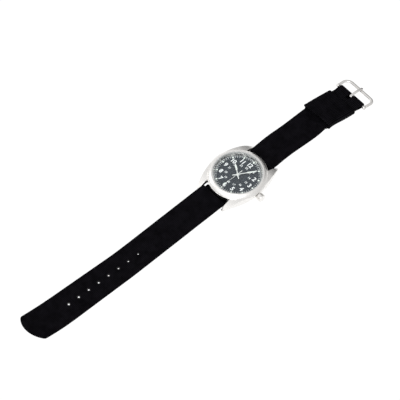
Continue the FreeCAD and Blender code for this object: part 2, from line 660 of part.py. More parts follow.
def main_plate():
    """Carries the train between itself and the bridge, and the motion work on its dial side."""
    body = new_body("main_plate")
    thick = "dims.plate_top - dims.plate_low"
    revolve(body, [("0", "dims.plate_low"), ("dims.plate_radius", "dims.plate_low"),
                   ("dims.plate_radius", "dims.plate_top"), ("0", "dims.plate_top")])
    for name, places, low, radius in (("bridge_pillars", BRIDGE_PILLARS, "dims.bridge_top", "0.6"),
                                      ("clamp_pillars", CLAMP_PILLARS, "2.42", "0.65")):
        pillars = sketch_on(body, "XY_Plane", low, name + "_profile")
        for x, y in places:
            circle(pillars, radius, x, y)
        pad(body, pillars, f"dims.plate_low - {low} + 0.1", name)
    holes = sketch_on(body, "XY_Plane", "2.2", "screw_holes_profile")
    for x, y in BRIDGE_PILLARS + CLAMP_PILLARS:
        circle(holes, "dims.screw_shank", x, y)
    cut(body, holes, "1.9", "screw_holes")
    minute = polar(dims.motion_distance, MINUTE_ANGLE)
    setting = setting_place()
    for name, floor, radius, (x, y) in (("hour_recess", "dims.recess_floor", "2.25", (0, 0)),
                                        ("minute_recess", "dims.recess_floor", "2.15", minute),
                                        ("setting_recess", "dims.recess_floor", "1.3", setting)):
        recess = sketch_on(body, "XY_Plane", floor, name + "_profile")
        circle(recess, radius, x, y)
        cut(body, recess, "2", name)
    keyless = sketch_on(body, "XY_Plane", "dims.keyless_floor", "keyless_profile")
    outline(keyless, [("5.4", "-1.0"), ("7.0", "-3.4"), ("10.9", "-3.4"), ("10.9", "3.6"),
                      ("6.4", "3.6"), ("5.4", "1.0")])
    cut(body, keyless, "2", "keyless_recess")
    slot = sketch_on(body, "XY_Plane", "dims.plate_low - 0.5", "pinion_slot_profile")
    outline(slot, [("5.1", "-0.95"), ("8.25", "-0.95"), ("8.25", "-0.3"), ("10.4", "-0.3"),
                   ("10.4", "0.3"), ("8.25", "0.3"), ("8.25", "0.95"), ("5.1", "0.95")])
    cut(body, slot, f"{thick} + 1", "pinion_slot")
    channel = sketch_on(body, "YZ_Plane", "5.1", "stem_channel_profile")
    circle(channel, "0.5", "0", "dims.stem_z")
    cut(body, channel, "9", "stem_channel")
    openings = sketch_on(body, "XY_Plane", "dims.plate_low - 0.5", "plate_holes_profile")
    circle(openings, "dims.battery_radius + 0.1", "dims.battery_x", "dims.battery_y")
    circle(openings, "0.34")
    for x, y in train_places():
        circle(openings, "dims.bearing", x, y)
    cut(body, openings, "3", "plate_holes")
    posts = sketch_on(body, "XY_Plane", "dims.recess_floor - 0.2", "wheel_posts_profile")
    for x, y in (minute, setting):
        circle(posts, "0.2", x, y)
    pad(body, posts, "0.75", "wheel_posts")
    pivots = sketch_on(body, "XY_Plane", "dims.keyless_floor - 0.2", "lever_posts_profile")
    for x, y in (LEVER_PIVOT, YOKE_PIVOT):
        circle(pivots, "0.25", x, y)
    pad(body, pivots, "0.6", "lever_posts")


def train_places():
    """Axes of the third wheel, fifth wheel and rotor."""
    third = polar(dims.train_distance, THIRD_ANGLE)
    fifth = polar(dims.train_distance, FIFTH_ANGLE)
    step = polar(dims.rotor_distance, ROTOR_ANGLE)
    return [third, fifth, (fifth[0] + step[0], fifth[1] + step[1])]


def setting_place():
    minute = polar(dims.motion_distance, MINUTE_ANGLE)
    step = polar(dims.setting_distance, SETTING_ANGLE)
    return (minute[0] + step[0], minute[1] + step[1])


def train_bridge():
    body = new_body("train_bridge")
    shape = sketch_on(body, "XY_Plane", "dims.bridge_low", "bridge_profile")
    outline(shape, [(6.9, 5.8), (2.2, 7.6), (-1.6, 2.4), (-6.9, 0.4), (-6.4, -4.9), (-3.4, -5.6),
                    (2.8, -5.6), (4.6, -1.0), (7.0, 4.2)])
    pad(body, shape, "dims.bridge_top - dims.bridge_low", "bridge")
    round_edges(body, "0.7", upright)
    holes = sketch_on(body, "XY_Plane", "dims.bridge_low - 0.5", "bridge_holes_profile")
    circle(holes, "dims.bearing")
    for x, y in train_places():
        circle(holes, "dims.bearing", x, y)
    for x, y in BRIDGE_PILLARS:
        circle(holes, "dims.screw_shank + 0.05", x, y)
    cut(body, holes, "2", "bridge_holes")


def screws(label, places, under_head, head_thick, length):
    """Cheese-head screws, with their heads towards the case back."""
    body = new_body(label)
    heads = sketch_on(body, "XY_Plane", f"{under_head} - {head_thick}", "heads_profile")
    shanks = sketch_on(body, "XY_Plane", under_head, "shanks_profile")
    slots = sketch_on(body, "XY_Plane", f"{under_head} - {head_thick}", "slots_profile")
    for x, y in places:
        circle(heads, "dims.screw_head", x, y)
        circle(shanks, "dims.screw_shank", x, y)
        outline(slots, [(x - 0.7, y - 0.07), (x + 0.7, y - 0.07), (x + 0.7, y + 0.07),
                        (x - 0.7, y + 0.07)])
    for name, sketch, size in (("heads", heads, head_thick), ("shanks", shanks, length)):
        feature = pad(body, sketch, size, name)
        feature.AllowMultiFace = True
    cut(body, slots, "0.09", "slots")


def battery():
    body = new_body("battery", ("dims.battery_x", "dims.battery_y", "dims.battery_low"))
    revolve(body, [("0", "0"), ("dims.battery_radius", "0"),
                   ("dims.battery_radius", "dims.battery_height - 0.5"),
                   ("dims.battery_radius - 0.55", "dims.battery_height - 0.3"),
                   ("dims.battery_radius - 0.6", "dims.battery_height"), ("0", "dims.battery_height")])


def battery_clamp():
    body = new_body("battery_clamp", ("dims.battery_x", "dims.battery_y", "2.22"), 45.0)
    strip = sketch_on(body, "XY_Plane", "0", "strip_profile")
    outline(strip, [("-5.7", "-0.75"), ("5.7", "-0.75"), ("5.7", "0.75"), ("-5.7", "0.75")])
    pad(body, strip, "0.18", "strip")
    round_edges(body, "0.7", upright)
    holes = sketch_on(body, "XY_Plane", "-0.5", "clamp_holes_profile")
    for x in ("-4.9497", "4.9497"):
        circle(holes, "dims.screw_shank + 0.05", x)
    cut(body, holes, "1", "clamp_holes")


def coil():
    """Drive coil: a soft iron core strip, and the copper winding between two flanges."""
    core = new_body("coil_core")
    strip = sketch_on(core, "XY_Plane", "3.02", "core_profile")
    outline(strip, [("-7.2", "-8.7"), ("4.1", "-8.7"), ("4.1", "-7.7"), ("-7.2", "-7.7")])
    pad(core, strip, "0.31", "core")
    winding = new_body("coil_winding", ("0", "-8.2", "3.175"))
    revolve(winding, [("-5.7", "0.56"), ("2.7", "0.56"), ("2.7", "1.0"), ("2.5", "1.0"),
                      ("2.5", "0.85"), ("-5.5", "0.85"), ("-5.5", "1.0"), ("-5.7", "1.0")], "H_Axis")


def stator():
    body = new_body("stator")
    shape = sketch_on(body, "XY_Plane", "3.35", "stator_profile")
    outline(shape, [(-7.3, -8.8), (-6.1, -8.8), (-6.1, -7.2), (-4.6, -5.6), (-2.6, -5.4), (3.0, -7.15),
                    (3.0, -8.8), (4.2, -8.8), (4.2, -6.6), (-1.9, -3.9), (-2.7, -2.9), (-3.96, -2.35),
                    (-5.4, -3.0), (-5.9, -4.6), (-7.3, -6.8)])
    pad(body, shape, "0.35", "stator_plate")
    hole = sketch_on(body, "XY_Plane", "3", "rotor_hole_profile")
    circle(hole, "1.0", *train_places()[2])
    cut(body, hole, "1.5", "rotor_hole")


def electronics():
    board = new_body("circuit_board")
    shape = sketch_on(board, "XY_Plane", "4.1", "board_profile")
    outline(shape, [("4.8", "-9.6"), ("7.3", "-8.6"), ("9.8", "-5.8"), ("10.8", "-3.2"), ("5.5", "-3.2"),
                    ("4.8", "-6.2")])
    pad(board, shape, "0.25", "board")
    oscillator = new_body("oscillator_can", ("6.15", "-8.6", "3.33"))
    can = sketch_on(oscillator, "XZ_Plane", "0", "can_profile")
    circle(can, "0.74")
    feature = pad(oscillator, can, "4.8", "can")
    feature.Reversed = True
    chip = new_body("driver_chip", ("7.9", "-5.6", "3.5"))
    square = sketch_on(chip, "XY_Plane", "0", "chip_profile")
    outline(square, [("0", "0"), ("1.8", "0"), ("1.8", "1.8"), ("0", "1.8")])
    pad(chip, square, "0.58", "chip")


# ---------------------------------------------------------------------------------------------
# Movement: wheels
# ---------------------------------------------------------------------------------------------

def wheel(label, place, turn, arbor, gears, hole=None):
    """A wheel on its arbor: gears is a list of (name, module, teeth, low, thickness)."""
    body = new_body(label, place, turn)
    low, high, radius = arbor
    shaft = sketch_on(body, "XY_Plane", low, "arbor_profile")
    circle(shaft, radius)
    pad(body, shaft, f"({high}) - ({low})", "arbor")
    for name, module, count, level, thick in gears:
        blank = sketch_on(body, "XY_Plane", level, name + "_profile")
        circle(blank, root_radius(module, count))
        pad(body, blank, thick, name)
        teeth(body, module, count, level, thick, name)
    if hole:
        bore = sketch_on(body, "XY_Plane", "2", "bore_profile")
        circle(bore, hole)
        cut(body, bore, "7", "bore")
    return body


def wheels():
    third_place, fifth_place, rotor_place = train_places()
    count = TRAIN_TEETH
    third_turn = mesh_turn(0, count["fourth_pinion"], count["third"], THIRD_ANGLE)
    fifth_turn = mesh_turn(0, count["fourth"], count["fifth_pinion"], FIFTH_ANGLE)
    rotor_turn = mesh_turn(fifth_turn, count["fifth"], count["rotor_pinion"], ROTOR_ANGLE)
    centre_turn = mesh_turn(third_turn, count["third_pinion"], count["centre"], THIRD_ANGLE + 180)
    minute_turn = mesh_turn(0, count["cannon"], count["minute"], MINUTE_ANGLE)
    hour_turn = mesh_turn(minute_turn, count["minute_pinion"], count["hour"], MINUTE_ANGLE + 180)
    setting_turn = mesh_turn(minute_turn, count["minute"], count["setting"], SETTING_ANGLE)
    thick, train = "dims.wheel_thick", "dims.train_module"
    low, high = "dims.bridge_low + 0.05", "dims.plate_low + 0.4"
    wheel("fourth_wheel", ("0", "0", "0"), 0, (low, "dims.second_hand_z + 0.16", "0.12"), [
        ("fourth", train, count["fourth"], "3.85", thick),
        ("fourth_pinion", train, count["fourth_pinion"], "3.05", "0.55")])
    wheel("third_wheel", (*third_place, 0), third_turn, (low, high, "dims.arbor"), [
        ("third", train, count["third"], "3.2", thick),
        ("third_pinion", "dims.third_pinion_module", count["third_pinion"], "4.06", "0.3")])
    wheel("fifth_wheel", (*fifth_place, 0), fifth_turn, (low, high, "dims.arbor"), [
        ("fifth", "dims.rotor_module", count["fifth"], "3.1", thick),
        ("fifth_pinion", train, count["fifth_pinion"], "3.78", "0.3")])
    rotor = wheel("rotor", (*rotor_place, 0), rotor_turn, (low, high, "0.14"), [
        ("rotor_pinion", "dims.rotor_module", count["rotor_pinion"], "3.03", "0.25")])
    magnet = sketch_on(rotor, "XY_Plane", "3.32", "magnet_profile")
    circle(magnet, "0.8")
    pad(rotor, magnet, "0.42", "magnet")
    wheel("centre_wheel", ("0", "0", "0"), centre_turn, ("4.1", "6.2", "0.3"), [
        ("centre", "dims.third_pinion_module", count["centre"], "4.15", thick)], "0.16")
    wheel("cannon_pinion", ("0", "0", "0"), 0, ("4.9", "dims.minute_hand_z + 0.12", "0.45"), [
        ("cannon", "dims.minute_module", count["cannon"], "4.9", "0.22")], "0.3")
    wheel("minute_wheel", (*polar(dims.motion_distance, MINUTE_ANGLE), 0), minute_turn,
          ("4.9", "5.42", "0.4"), [
              ("minute", "dims.minute_module", count["minute"], "4.93", thick),
              ("minute_pinion", "dims.hour_module", count["minute_pinion"], "5.1", "0.3")], "0.23")
    wheel("hour_wheel", ("0", "0", "0"), hour_turn, ("5.18", "dims.hour_hand_z + 0.12", "0.65"), [
        ("hour", "dims.hour_module", count["hour"], "5.18", thick)], "0.49")
    wheel("setting_wheel", (*setting_place(), 0), setting_turn, ("4.9", "5.2", "0.4"), [
        ("setting", "dims.minute_module", count["setting"], "4.93", thick)], "0.23")


def levers():
    """Keyless work: the lever in the stem's groove, the yoke in the pinion's, and their jumper."""
    x, y = LEVER_PIVOT
    lever = new_body("setting_lever", (x, y, 0))
    arm = sketch_on(lever, "XY_Plane", "5.0", "lever_profile")
    outline(arm, [("-0.5", "-0.45"), ("0.45", "-0.45"), ("0.5", "0.4"), ("-0.5", "2.65"),
                  ("-1.15", "2.55"), ("-0.6", "0.5")])
    pad(lever, arm, "0.25", "lever")
    pin = sketch_on(lever, "XY_Plane", "4.67", "lever_pin_profile")
    circle(pin, "0.12", "-0.85", "2.4")
    pad(lever, pin, "0.4", "lever_pin")
    hole = sketch_on(lever, "XY_Plane", "4.8", "lever_hole_profile")
    circle(hole, "0.28")
    cut(lever, hole, "1", "lever_hole")
    x, y = YOKE_PIVOT
    yoke = new_body("yoke", (x, y, 0))
    arm = sketch_on(yoke, "XY_Plane", "5.0", "yoke_profile")
    outline(arm, [("-0.65", "-3.0"), ("-0.45", "-3.0"), ("-0.45", "-1.7"), ("0.45", "-0.4"),
                  ("0.45", "0.45"), ("-0.45", "0.45"), ("-0.65", "-1.4")])
    pad(yoke, arm, "0.25", "yoke")
    finger = sketch_on(yoke, "XY_Plane", "4.92", "yoke_finger_profile")
    outline(finger, [("-0.65", "-3.0"), ("-0.45", "-3.0"), ("-0.45", "-2.6"), ("-0.65", "-2.6")])
    pad(yoke, finger, "0.1", "yoke_finger")
    hole = sketch_on(yoke, "XY_Plane", "4.8", "yoke_hole_profile")
    circle(hole, "0.28")
    cut(yoke, hole, "1", "yoke_hole")
    spring = new_body("setting_jumper")
    leaf = sketch_on(spring, "XY_Plane", "5.0", "jumper_profile")
    outline(leaf, [("10.45", "-1.2"), ("10.65", "-1.2"), ("10.7", "1.6"), ("10.6", "3.3"),
                   ("9.2", "3.3"), ("9.2", "2.3"), ("10.4", "2.3")])
    pad(spring, leaf, "0.2", "jumper")


# ---------------------------------------------------------------------------------------------
# Spring bars
# ---------------------------------------------------------------------------------------------

def spring_bars():
    """Two telescopic bars between the lugs: a tube, two shouldered plungers and a spring each."""
    inner, outer = "dims.bar_half - dims.plunger_inside", "dims.bar_half + 0.25"
    end = "dims.lug_inner + dims.tip_reach"
    for name, side in (("12", "dims.bar_y"), ("6", "-dims.bar_y")):
        place = ("0", side, "dims.bar_z")
        tube = new_body(f"spring_bar_tube_{name}", place)
        revolve(tube, [("-dims.bar_half", "dims.bar_bore"), ("dims.bar_half", "dims.bar_bore"),
                       ("dims.bar_half", "dims.bar_radius"), ("-dims.bar_half", "dims.bar_radius")],
                "H_Axis")
        for hand_side, turn in (("right", 0.0), ("left", 180.0)):
            plunger = new_body(f"spring_bar_plunger_{name}_{hand_side}", place, turn)
            revolve(plunger, [(inner, "0"), (end, "0"), (end, "dims.plunger_tip"),
                              (outer, "dims.plunger_tip"), (outer, "dims.plunger_radius"),
                              (inner, "dims.plunger_radius")], "H_Axis")
        spring_path = Part.makeHelix(1.4, 2 * dims.spring_half, dims.spring_radius)
        start = Vector(dims.spring_radius, 0, 0)
        wire_end = Part.Wire(Part.makeCircle(dims.spring_wire, start, Vector(0, 1, 0)))
        coil_shape = Part.Wire(spring_path.Edges).makePipeShell([wire_end], True, True)
        shape_part(f"spring_bar_spring_{name}", coil_shape,
                   Placement(Vector(-dims.spring_half, number(side), dims.bar_z),
                             Rotation(Vector(0, 1, 0), 90)))


# ---------------------------------------------------------------------------------------------
# Strap, keeper and buckle
# ---------------------------------------------------------------------------------------------

def wrap_radius():
    """Centre line of the webbing where it bends around a spring bar."""
    return dims.bar_radius + 0.02 + dims.strap_thick / 2


def strap_center():
    """The stretch of webbing that passes under the case and up between the case and the bars."""
    middle, bend = dims.strap_thick / 2, wrap_radius()
    top, wall, end = dims.bar_z + bend, dims.bar_y - bend, dims.bar_y - 0.06
    half = [(dims.bar_y, top), (wall, top), (wall, middle)]
    points = [(-y, z) for y, z in half] + [(y, z) for y, z in reversed(half)]
    band = ribbon(points, [0, bend, 1.4, 1.4, bend, 0], dims.strap_thick, dims.strap_width)
    shape_part("strap_center", band.common(Part.makeBox(30, 2 * end, 20, Vector(-15, -end, -5))))


def leaves_bar():
    """The first corners of a strap end, level over the top of its bar."""
    top = dims.bar_z + wrap_radius()
    return [(dims.bar_y, top), (dims.bar_y + dims.shoulder, top)], [0, 8.0]


def strap_buckle_side():
    """From the 12 o'clock bar in a low arch to the buckle, around its pin, and back under itself."""
    thick, gap = dims.strap_thick, dims.strap_gap
    points, radii = leaves_bar()
    under, over = 1.5 * thick + gap, 2.5 * thick + 2 * gap
    wrap = dims.pin_radius + 0.06 + thick / 2
    top, low, around = dims.pin_z + wrap, dims.pin_z - wrap, dims.pin_y + wrap
    points += [(dims.crest_y, dims.crest_z), (dims.rise_end_y, over), (90.3, over), (93.0, top),
               (around, top), (around, low), (93.0, low), (90.3, under), (dims.fold_end_y, under)]
    radii += [60.0, 80.0, 2.0, 2.0, wrap, wrap, 2.0, 2.0, 0]
    band = ribbon(points, radii, thick, dims.strap_width)
    slot = Part.makeBox(2 * dims.slot_half, 10, 10,
                        Vector(-dims.slot_half, dims.slot_start_y, -2))
    shape_part("strap_buckle_side", band.cut(slot))


def strap_tip_side():
    """From the 6 o'clock bar down to the table and on to the rounded tip, with the buckle holes."""
    points, radii = leaves_bar()
    table = dims.strap_thick / 2
    points += [(dims.land_y, table), (dims.strap_tip_y + 1, table)]
    band = ribbon([(-y, z) for y, z in points], radii + [150.0, 0], dims.strap_thick, dims.strap_width)
    end = Part.makeCylinder(dims.tip_radius, 20, Vector(0, -dims.strap_tip_y + dims.tip_radius, -5))
    box = Part.makeBox(40, dims.strap_tip_y, 20,
                       Vector(-20, -dims.strap_tip_y + dims.tip_radius, -5))
    band = band.common(end.fuse(box))
    corners = [edge for edge in band.Edges
               if upright(edge) and edge.BoundBox.YMax < -dims.strap_tip_y + dims.tip_radius]
    band = band.makeFillet(dims.tip_corner, corners)
    for i in range(int(dims.hole_count)):
        place = Vector(0, -dims.first_hole_y - i * dims.hole_pitch, -1)
        band = band.cut(Part.makeCylinder(dims.hole_radius, 4, place))
    shape_part("strap_tip_side", band)


def keeper_sleeve():
    """A loop of the same webbing, sewn crosswise around the strap to hold its tail."""
    body = new_body("keeper_sleeve", ("0", "dims.keeper_start_y", "0"))
    inner = "dims.strap_width / 2 + dims.keeper_play"
    outer = f"{inner} + dims.strap_thick"
    floor = "dims.strap_thick + 0.02"
    ceiling = "3 * dims.strap_thick + 2 * dims.strap_gap + dims.keeper_room"
    top = f"{ceiling} + dims.strap_thick"
    ring = sketch_on(body, "XZ_Plane", "0", "ring_profile")
    big, small = "dims.keeper_corner", "dims.keeper_crease"
    for half, low, high, corner in ((outer, "0", top, big), (inner, floor, ceiling, small)):
        outline(ring, [
            (f"-({half}) + {corner}", low), (f"{half} - ({corner})", low, corner),
            (half, f"{low} + {corner}"), (half, f"{high} - ({corner})", corner),
            (f"{half} - ({corner})", high), (f"-({half}) + {corner}", high, corner),
            (f"-({half})", f"{high} - ({corner})"), (f"-({half})", f"{low} + {corner}", corner)])
    feature = pad(body, ring, "dims.keeper_length", "ring")
    feature.Reversed = True


def buckle_pin():
    body = new_body("buckle_pin", ("0", "dims.pin_y", "dims.pin_z"))
    revolve(body, [("-dims.pin_half", "0"), ("dims.pin_half", "0"), ("dims.pin_half", "dims.pin_radius"),
                   ("-dims.pin_half", "dims.pin_radius")], "H_Axis")


def buckle_frame():
    """A bright U-shaped frame of flattened wire, with an eye at the end of each arm."""
    body = new_body("buckle_frame", ("0", "dims.pin_y", "dims.pin_z"))
    side, corner = "dims.frame_half", "dims.frame_corner"
    front = "dims.frame_front - dims.pin_y"
    thick, wide = "dims.frame_round", "dims.frame_round + dims.frame_flat"
    plan = sketch_on(body, "XY_Plane", f"-{thick}", "frame_profile")
    out, into, turn = f"{side} + {wide}", f"{side} - ({wide})", f"{corner} + {wide}"
    tight, nose, back = f"{corner} - ({wide})", f"{front} + {wide}", f"{front} - ({wide})"
    outline(plan, [
        (f"-({out})", "0"), (f"-({into})", "0"), (f"-({into})", f"{back} - ({tight})", f"-({tight})"),
        (f"-({into}) + {tight}", back), (f"{into} - ({tight})", back, f"-({tight})"),
        (into, f"{back} - ({tight})"), (into, "0"), (out, "0"), (out, f"{nose} - ({turn})", turn),
        (f"{out} - ({turn})", nose), (f"-({out}) + {turn}", nose, turn),
        (f"-({out})", f"{nose} - ({turn})")])
    pad(body, plan, f"2 * {thick}", "frame_blank")
    round_edges(body, f"{thick} - 0.06", lies_flat, "frame_rounding")
    for name, start in (("left_eye", f"-{side} - dims.eye_width / 2"),
                        ("right_eye", f"{side} - dims.eye_width / 2")):
        disc = sketch_on(body, "YZ_Plane", start, name + "_profile")
        circle(disc, "dims.eye_radius")
        pad(body, disc, "dims.eye_width", name)
    bore = sketch_on(body, "YZ_Plane", f"-{side} - 3", "eye_bore_profile")
    circle(bore, "dims.eye_bore")
    cut(body, bore, f"2 * {side} + 6", "eye_bore")


def buckle_tongue():
    body = new_body("buckle_tongue", ("0", "dims.pin_y", "dims.pin_z"))
    low = "dims.frame_round + 0.03"
    half = "dims.tongue_half"
    eye = sketch_on(body, "YZ_Plane", f"-{half}", "eye_profile")
    circle(eye, "dims.eye_radius")
    pad(body, eye, f"2 * {half}", "eye")
    strip = sketch_on(body, "XY_Plane", low, "strip_profile")
    end = "dims.tongue_tip - dims.pin_y"
    outline(strip, [(half, "0"), (half, f"{end} - 1.2", "1.6"), (f"-{half}", f"{end} - 1.2"),
                    (f"-{half}", "0")])
    pad(body, strip, "dims.tongue_thick", "strip")
    bore = sketch_on(body, "YZ_Plane", "-3", "bore_profile")
    circle(bore, "dims.eye_bore")
    cut(body, bore, "6", "bore")


# ---------------------------------------------------------------------------------------------
# Build, check and write
# ---------------------------------------------------------------------------------------------

def build():
    case_body()
    case_back()
    seals()
    crystal()
    crown_tube()
    crown()
    crown_gasket()
    stem()
    sliding_pinion()
    dial()
    dial_ring()
    dial_washer()
    hands()
    movement_holder()
    main_plate()
    train_bridge()
    screws("bridge_screws", BRIDGE_PILLARS, "dims.bridge_low", "0.3", "1.3")
    screws("clamp_screws", CLAMP_PILLARS, "2.2", "0.18", "1.6")
    battery()
    battery_clamp()
    coil()
    stator()
    electronics()
    wheels()
    levers()
    spring_bars()
    strap_center()
    strap_buckle_side()
    strap_tip_side()
    keeper_sleeve()
    buckle_pin()
    buckle_frame()
    buckle_tongue()
    doc.recompute()


def check_and_write():
    for item in doc.Objects:
        if "Invalid" in item.State or "Error" in item.State:
            raise RuntimeError(f"{item.Label} did not recompute: {item.State}")
    os.makedirs("parts", exist_ok=True)
    for part in sub_parts:
        shape = part.Shape
        if shape.isNull() or not shape.isValid() or not shape.Solids:
            raise RuntimeError(f"{part.Label} has no valid solid")
    for part in sub_parts:
        part.Shape.exportStep(f"parts/{part.Label}.step")
    print(len(sub_parts), "sub-parts written")


build()
check_and_write()
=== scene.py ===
"""Looks for the wristwatch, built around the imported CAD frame.

Everything is in metres in the row frame: +Z through the crystal, +Y towards 12 o'clock, +X towards the
crown. Lengths in the code are millimetres and are multiplied by MM where they become geometry.
"""

import json
import math

import bmesh
import bpy
import numpy as np
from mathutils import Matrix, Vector


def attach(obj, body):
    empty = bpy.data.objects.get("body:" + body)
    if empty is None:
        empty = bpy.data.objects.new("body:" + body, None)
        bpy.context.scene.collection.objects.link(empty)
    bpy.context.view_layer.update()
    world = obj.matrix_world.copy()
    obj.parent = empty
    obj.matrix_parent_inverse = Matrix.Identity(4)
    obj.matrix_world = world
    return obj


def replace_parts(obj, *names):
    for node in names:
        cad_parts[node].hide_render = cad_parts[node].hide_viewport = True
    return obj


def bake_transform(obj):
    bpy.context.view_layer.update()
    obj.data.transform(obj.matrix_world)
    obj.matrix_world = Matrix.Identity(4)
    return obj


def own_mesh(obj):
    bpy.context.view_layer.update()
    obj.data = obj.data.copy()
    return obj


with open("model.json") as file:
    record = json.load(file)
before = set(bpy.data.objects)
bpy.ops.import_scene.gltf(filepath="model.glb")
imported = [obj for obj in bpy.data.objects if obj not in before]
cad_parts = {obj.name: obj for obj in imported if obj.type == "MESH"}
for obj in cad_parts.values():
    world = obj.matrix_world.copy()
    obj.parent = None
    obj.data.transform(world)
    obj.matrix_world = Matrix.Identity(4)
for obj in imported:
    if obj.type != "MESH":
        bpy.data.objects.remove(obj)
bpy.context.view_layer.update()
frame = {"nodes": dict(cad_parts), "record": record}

MM = 0.001
TAU = 2 * math.pi

# Values shared with the CAD source
STRAP_HALF = 10.0
STRAP_THICK = 1.1
BAR_Y, BAR_Z, BAR_RADIUS = 20.9, 2.5, 0.8
PIN_Y, PIN_Z, PIN_RADIUS, PIN_HALF = 95.0, 2.28, 0.7, 12.5
KEEPER_START, KEEPER_LENGTH = 67.5, 20.0
TIP_Y, TIP_RADIUS, TIP_CORNER = 169.5, 13.0, 3.0
HOLE_RADIUS, FIRST_HOLE_Y, HOLE_PITCH, HOLE_COUNT = 1.15, 82.2, 8.0, 8
CREST_Y, CREST_Z, LAND_Y = 34.0, 5.2, 95.0
FRAME_HALF = 11.65
DIAL_TOP = 6.05
HOUR_ANGLE, MINUTE_ANGLE, SECOND_ANGLE = 302.5, 31.0, 180.0

# Tongue slot in the folded webbing: where it starts above and ends below the pin, and its half width
SLOT_TOP_Y, SLOT_LOW_Y, SLOT_HALF = 91.2, 93.75, 1.25

# Buckle metal as drawn here. The frame and the tongue reach further out than the CAD's.
EYE_LINE, TONGUE_HALF, TONGUE_THICK, TONGUE_END = 1.07, 0.92, 0.6, 104.4
FRAME_FRONT, FRAME_DROP, FRAME_CORNER = 102.9, 0.5, 3.4
WIRE_WIDE, WIRE_THICK = 0.98, 0.78

# Spring bar coils, a little smaller than the CAD's
SPRING_HALF, PLUNGER_TRAVEL = 6.8, 0.8

# How the buckle side lies: a bend to the right, a lifted left edge, a pinched right edge
BEND_START, BEND_SPAN, BEND = 62.0, 38.0, 1.9
LIFT_START, LIFT_SPAN, LIFT = 42.0, 53.0, 1.9
PINCH_Y, PINCH_SPAN, PINCH_IN, PINCH_UP = 70.0, 9.0, 0.9, 0.8

# How the tip side lies: a twist from TWIST_START on, a curl from CURL_START on, and a skewed end
TWIST_START, TWIST_SLOPE, TWIST_EASE = 90.0, 0.031, 6.0
CURL_START, CURL_SPAN, CURL, CURL_SKEW = 140.0, 20.0, 1.5, 0.05
TIP_REACH, TIP_OVER, TIP_SKEW = 20.0, 0.5, 2.6

# The webbing's rows and columns near a hole: the open square, and the square that is warped round
HOLE_OPEN, HOLE_CELL = 1.0, 2.5

FLOOR_HALF, FLOOR_Z = 30.0, -0.152
CAMERA_AZIMUTH, CAMERA_ELEVATION, CAMERA_DISTANCE, CAMERA_LENS = 47.9, 55.4, 2.5, 365.4
CAMERA_TARGET = (-4.8, -27.0, 0.0)


# ---------------------------------------------------------------------------------------------
# Material helpers
# ---------------------------------------------------------------------------------------------

class Shader:
    """The nodes of a material or world. Every value is a number, a colour, a node or a socket."""

    def __init__(self, name, world=None):
        self.owner = world or bpy.data.materials.new(name)
        self.owner.use_nodes = True
        self.tree = self.owner.node_tree
        self.tree.nodes.clear()

    def add(self, kind, inputs=None, **settings):
        node = self.tree.nodes.new("ShaderNode" + kind)
        for key, value in settings.items():
            setattr(node, key, value)
        for key, value in (inputs or {}).items():
            self.feed(node.inputs[key], value)
        return node

    def feed(self, socket, value):
        if isinstance(value, bpy.types.Node):
            value = value.outputs[0]
        if isinstance(value, bpy.types.NodeSocket):
            self.tree.links.new(value, socket)
        elif isinstance(value, (tuple, list)) and len(value) == 3 and socket.type == "RGBA":
            socket.default_value = (*value, 1.0)
        else:
            socket.default_value = value

    def math(self, operation, *values):
        node = self.add("Math", operation=operation)
        for i, value in enumerate(values):
            self.feed(node.inputs[i], value)
        return node.outputs[0]

    def mix(self, factor, first, second):
        """A blend of two numbers or sockets that carry numbers."""
        node = self.add("Mix", data_type="FLOAT")
        for index, value in ((0, factor), (2, first), (3, second)):
            self.feed(node.inputs[index], value)
        return node.outputs[0]

    def colours(self, factor, first, second):
        node = self.add("Mix", data_type="RGBA")
        for index, value in ((0, factor), (6, first), (7, second)):
            self.feed(node.inputs[index], value)
        return node.outputs[2]

    def span(self, value, low, high, out_low=0.0, out_high=1.0):
        node = self.add("MapRange", clamp=True)
        for i, entry in enumerate((value, low, high, out_low, out_high)):
            self.feed(node.inputs[i], entry)
        return node.outputs[0]

    def noise(self, vector, scale, detail=2.0, rough=0.5):
        node = self.add("TexNoise", {"Vector": vector, "Scale": scale, "Detail": detail,
                                     "Roughness": rough})
        return node.outputs[0]

    def place(self):
        """Row-frame coordinates in millimetres."""
        coords = self.add("TexCoord").outputs["Object"]
        return self.add("VectorMath", {0: coords, 3: 1000.0}, operation="SCALE").outputs[0]

    def parts(self, vector):
        node = self.add("SeparateXYZ", {0: vector})
        return node.outputs[0], node.outputs[1], node.outputs[2]

    def join(self, x, y, z):
        return self.add("CombineXYZ", {0: x, 1: y, 2: z}).outputs[0]

    def bump(self, height, distance, strength):
        inputs = {"Height": height, "Distance": distance, "Strength": strength}
        return self.add("Bump", inputs).outputs[0]

    def surface(self, **inputs):
        """A Principled BSDF as the result: names with underscores for the input's spaces."""
        node = self.add("BsdfPrincipled", {k.replace("_", " "): v for k, v in inputs.items()})
        return self.close(node.outputs[0])

    def close(self, closure, output="OutputMaterial"):
        self.add(output, {"Surface": closure})
        return self.owner


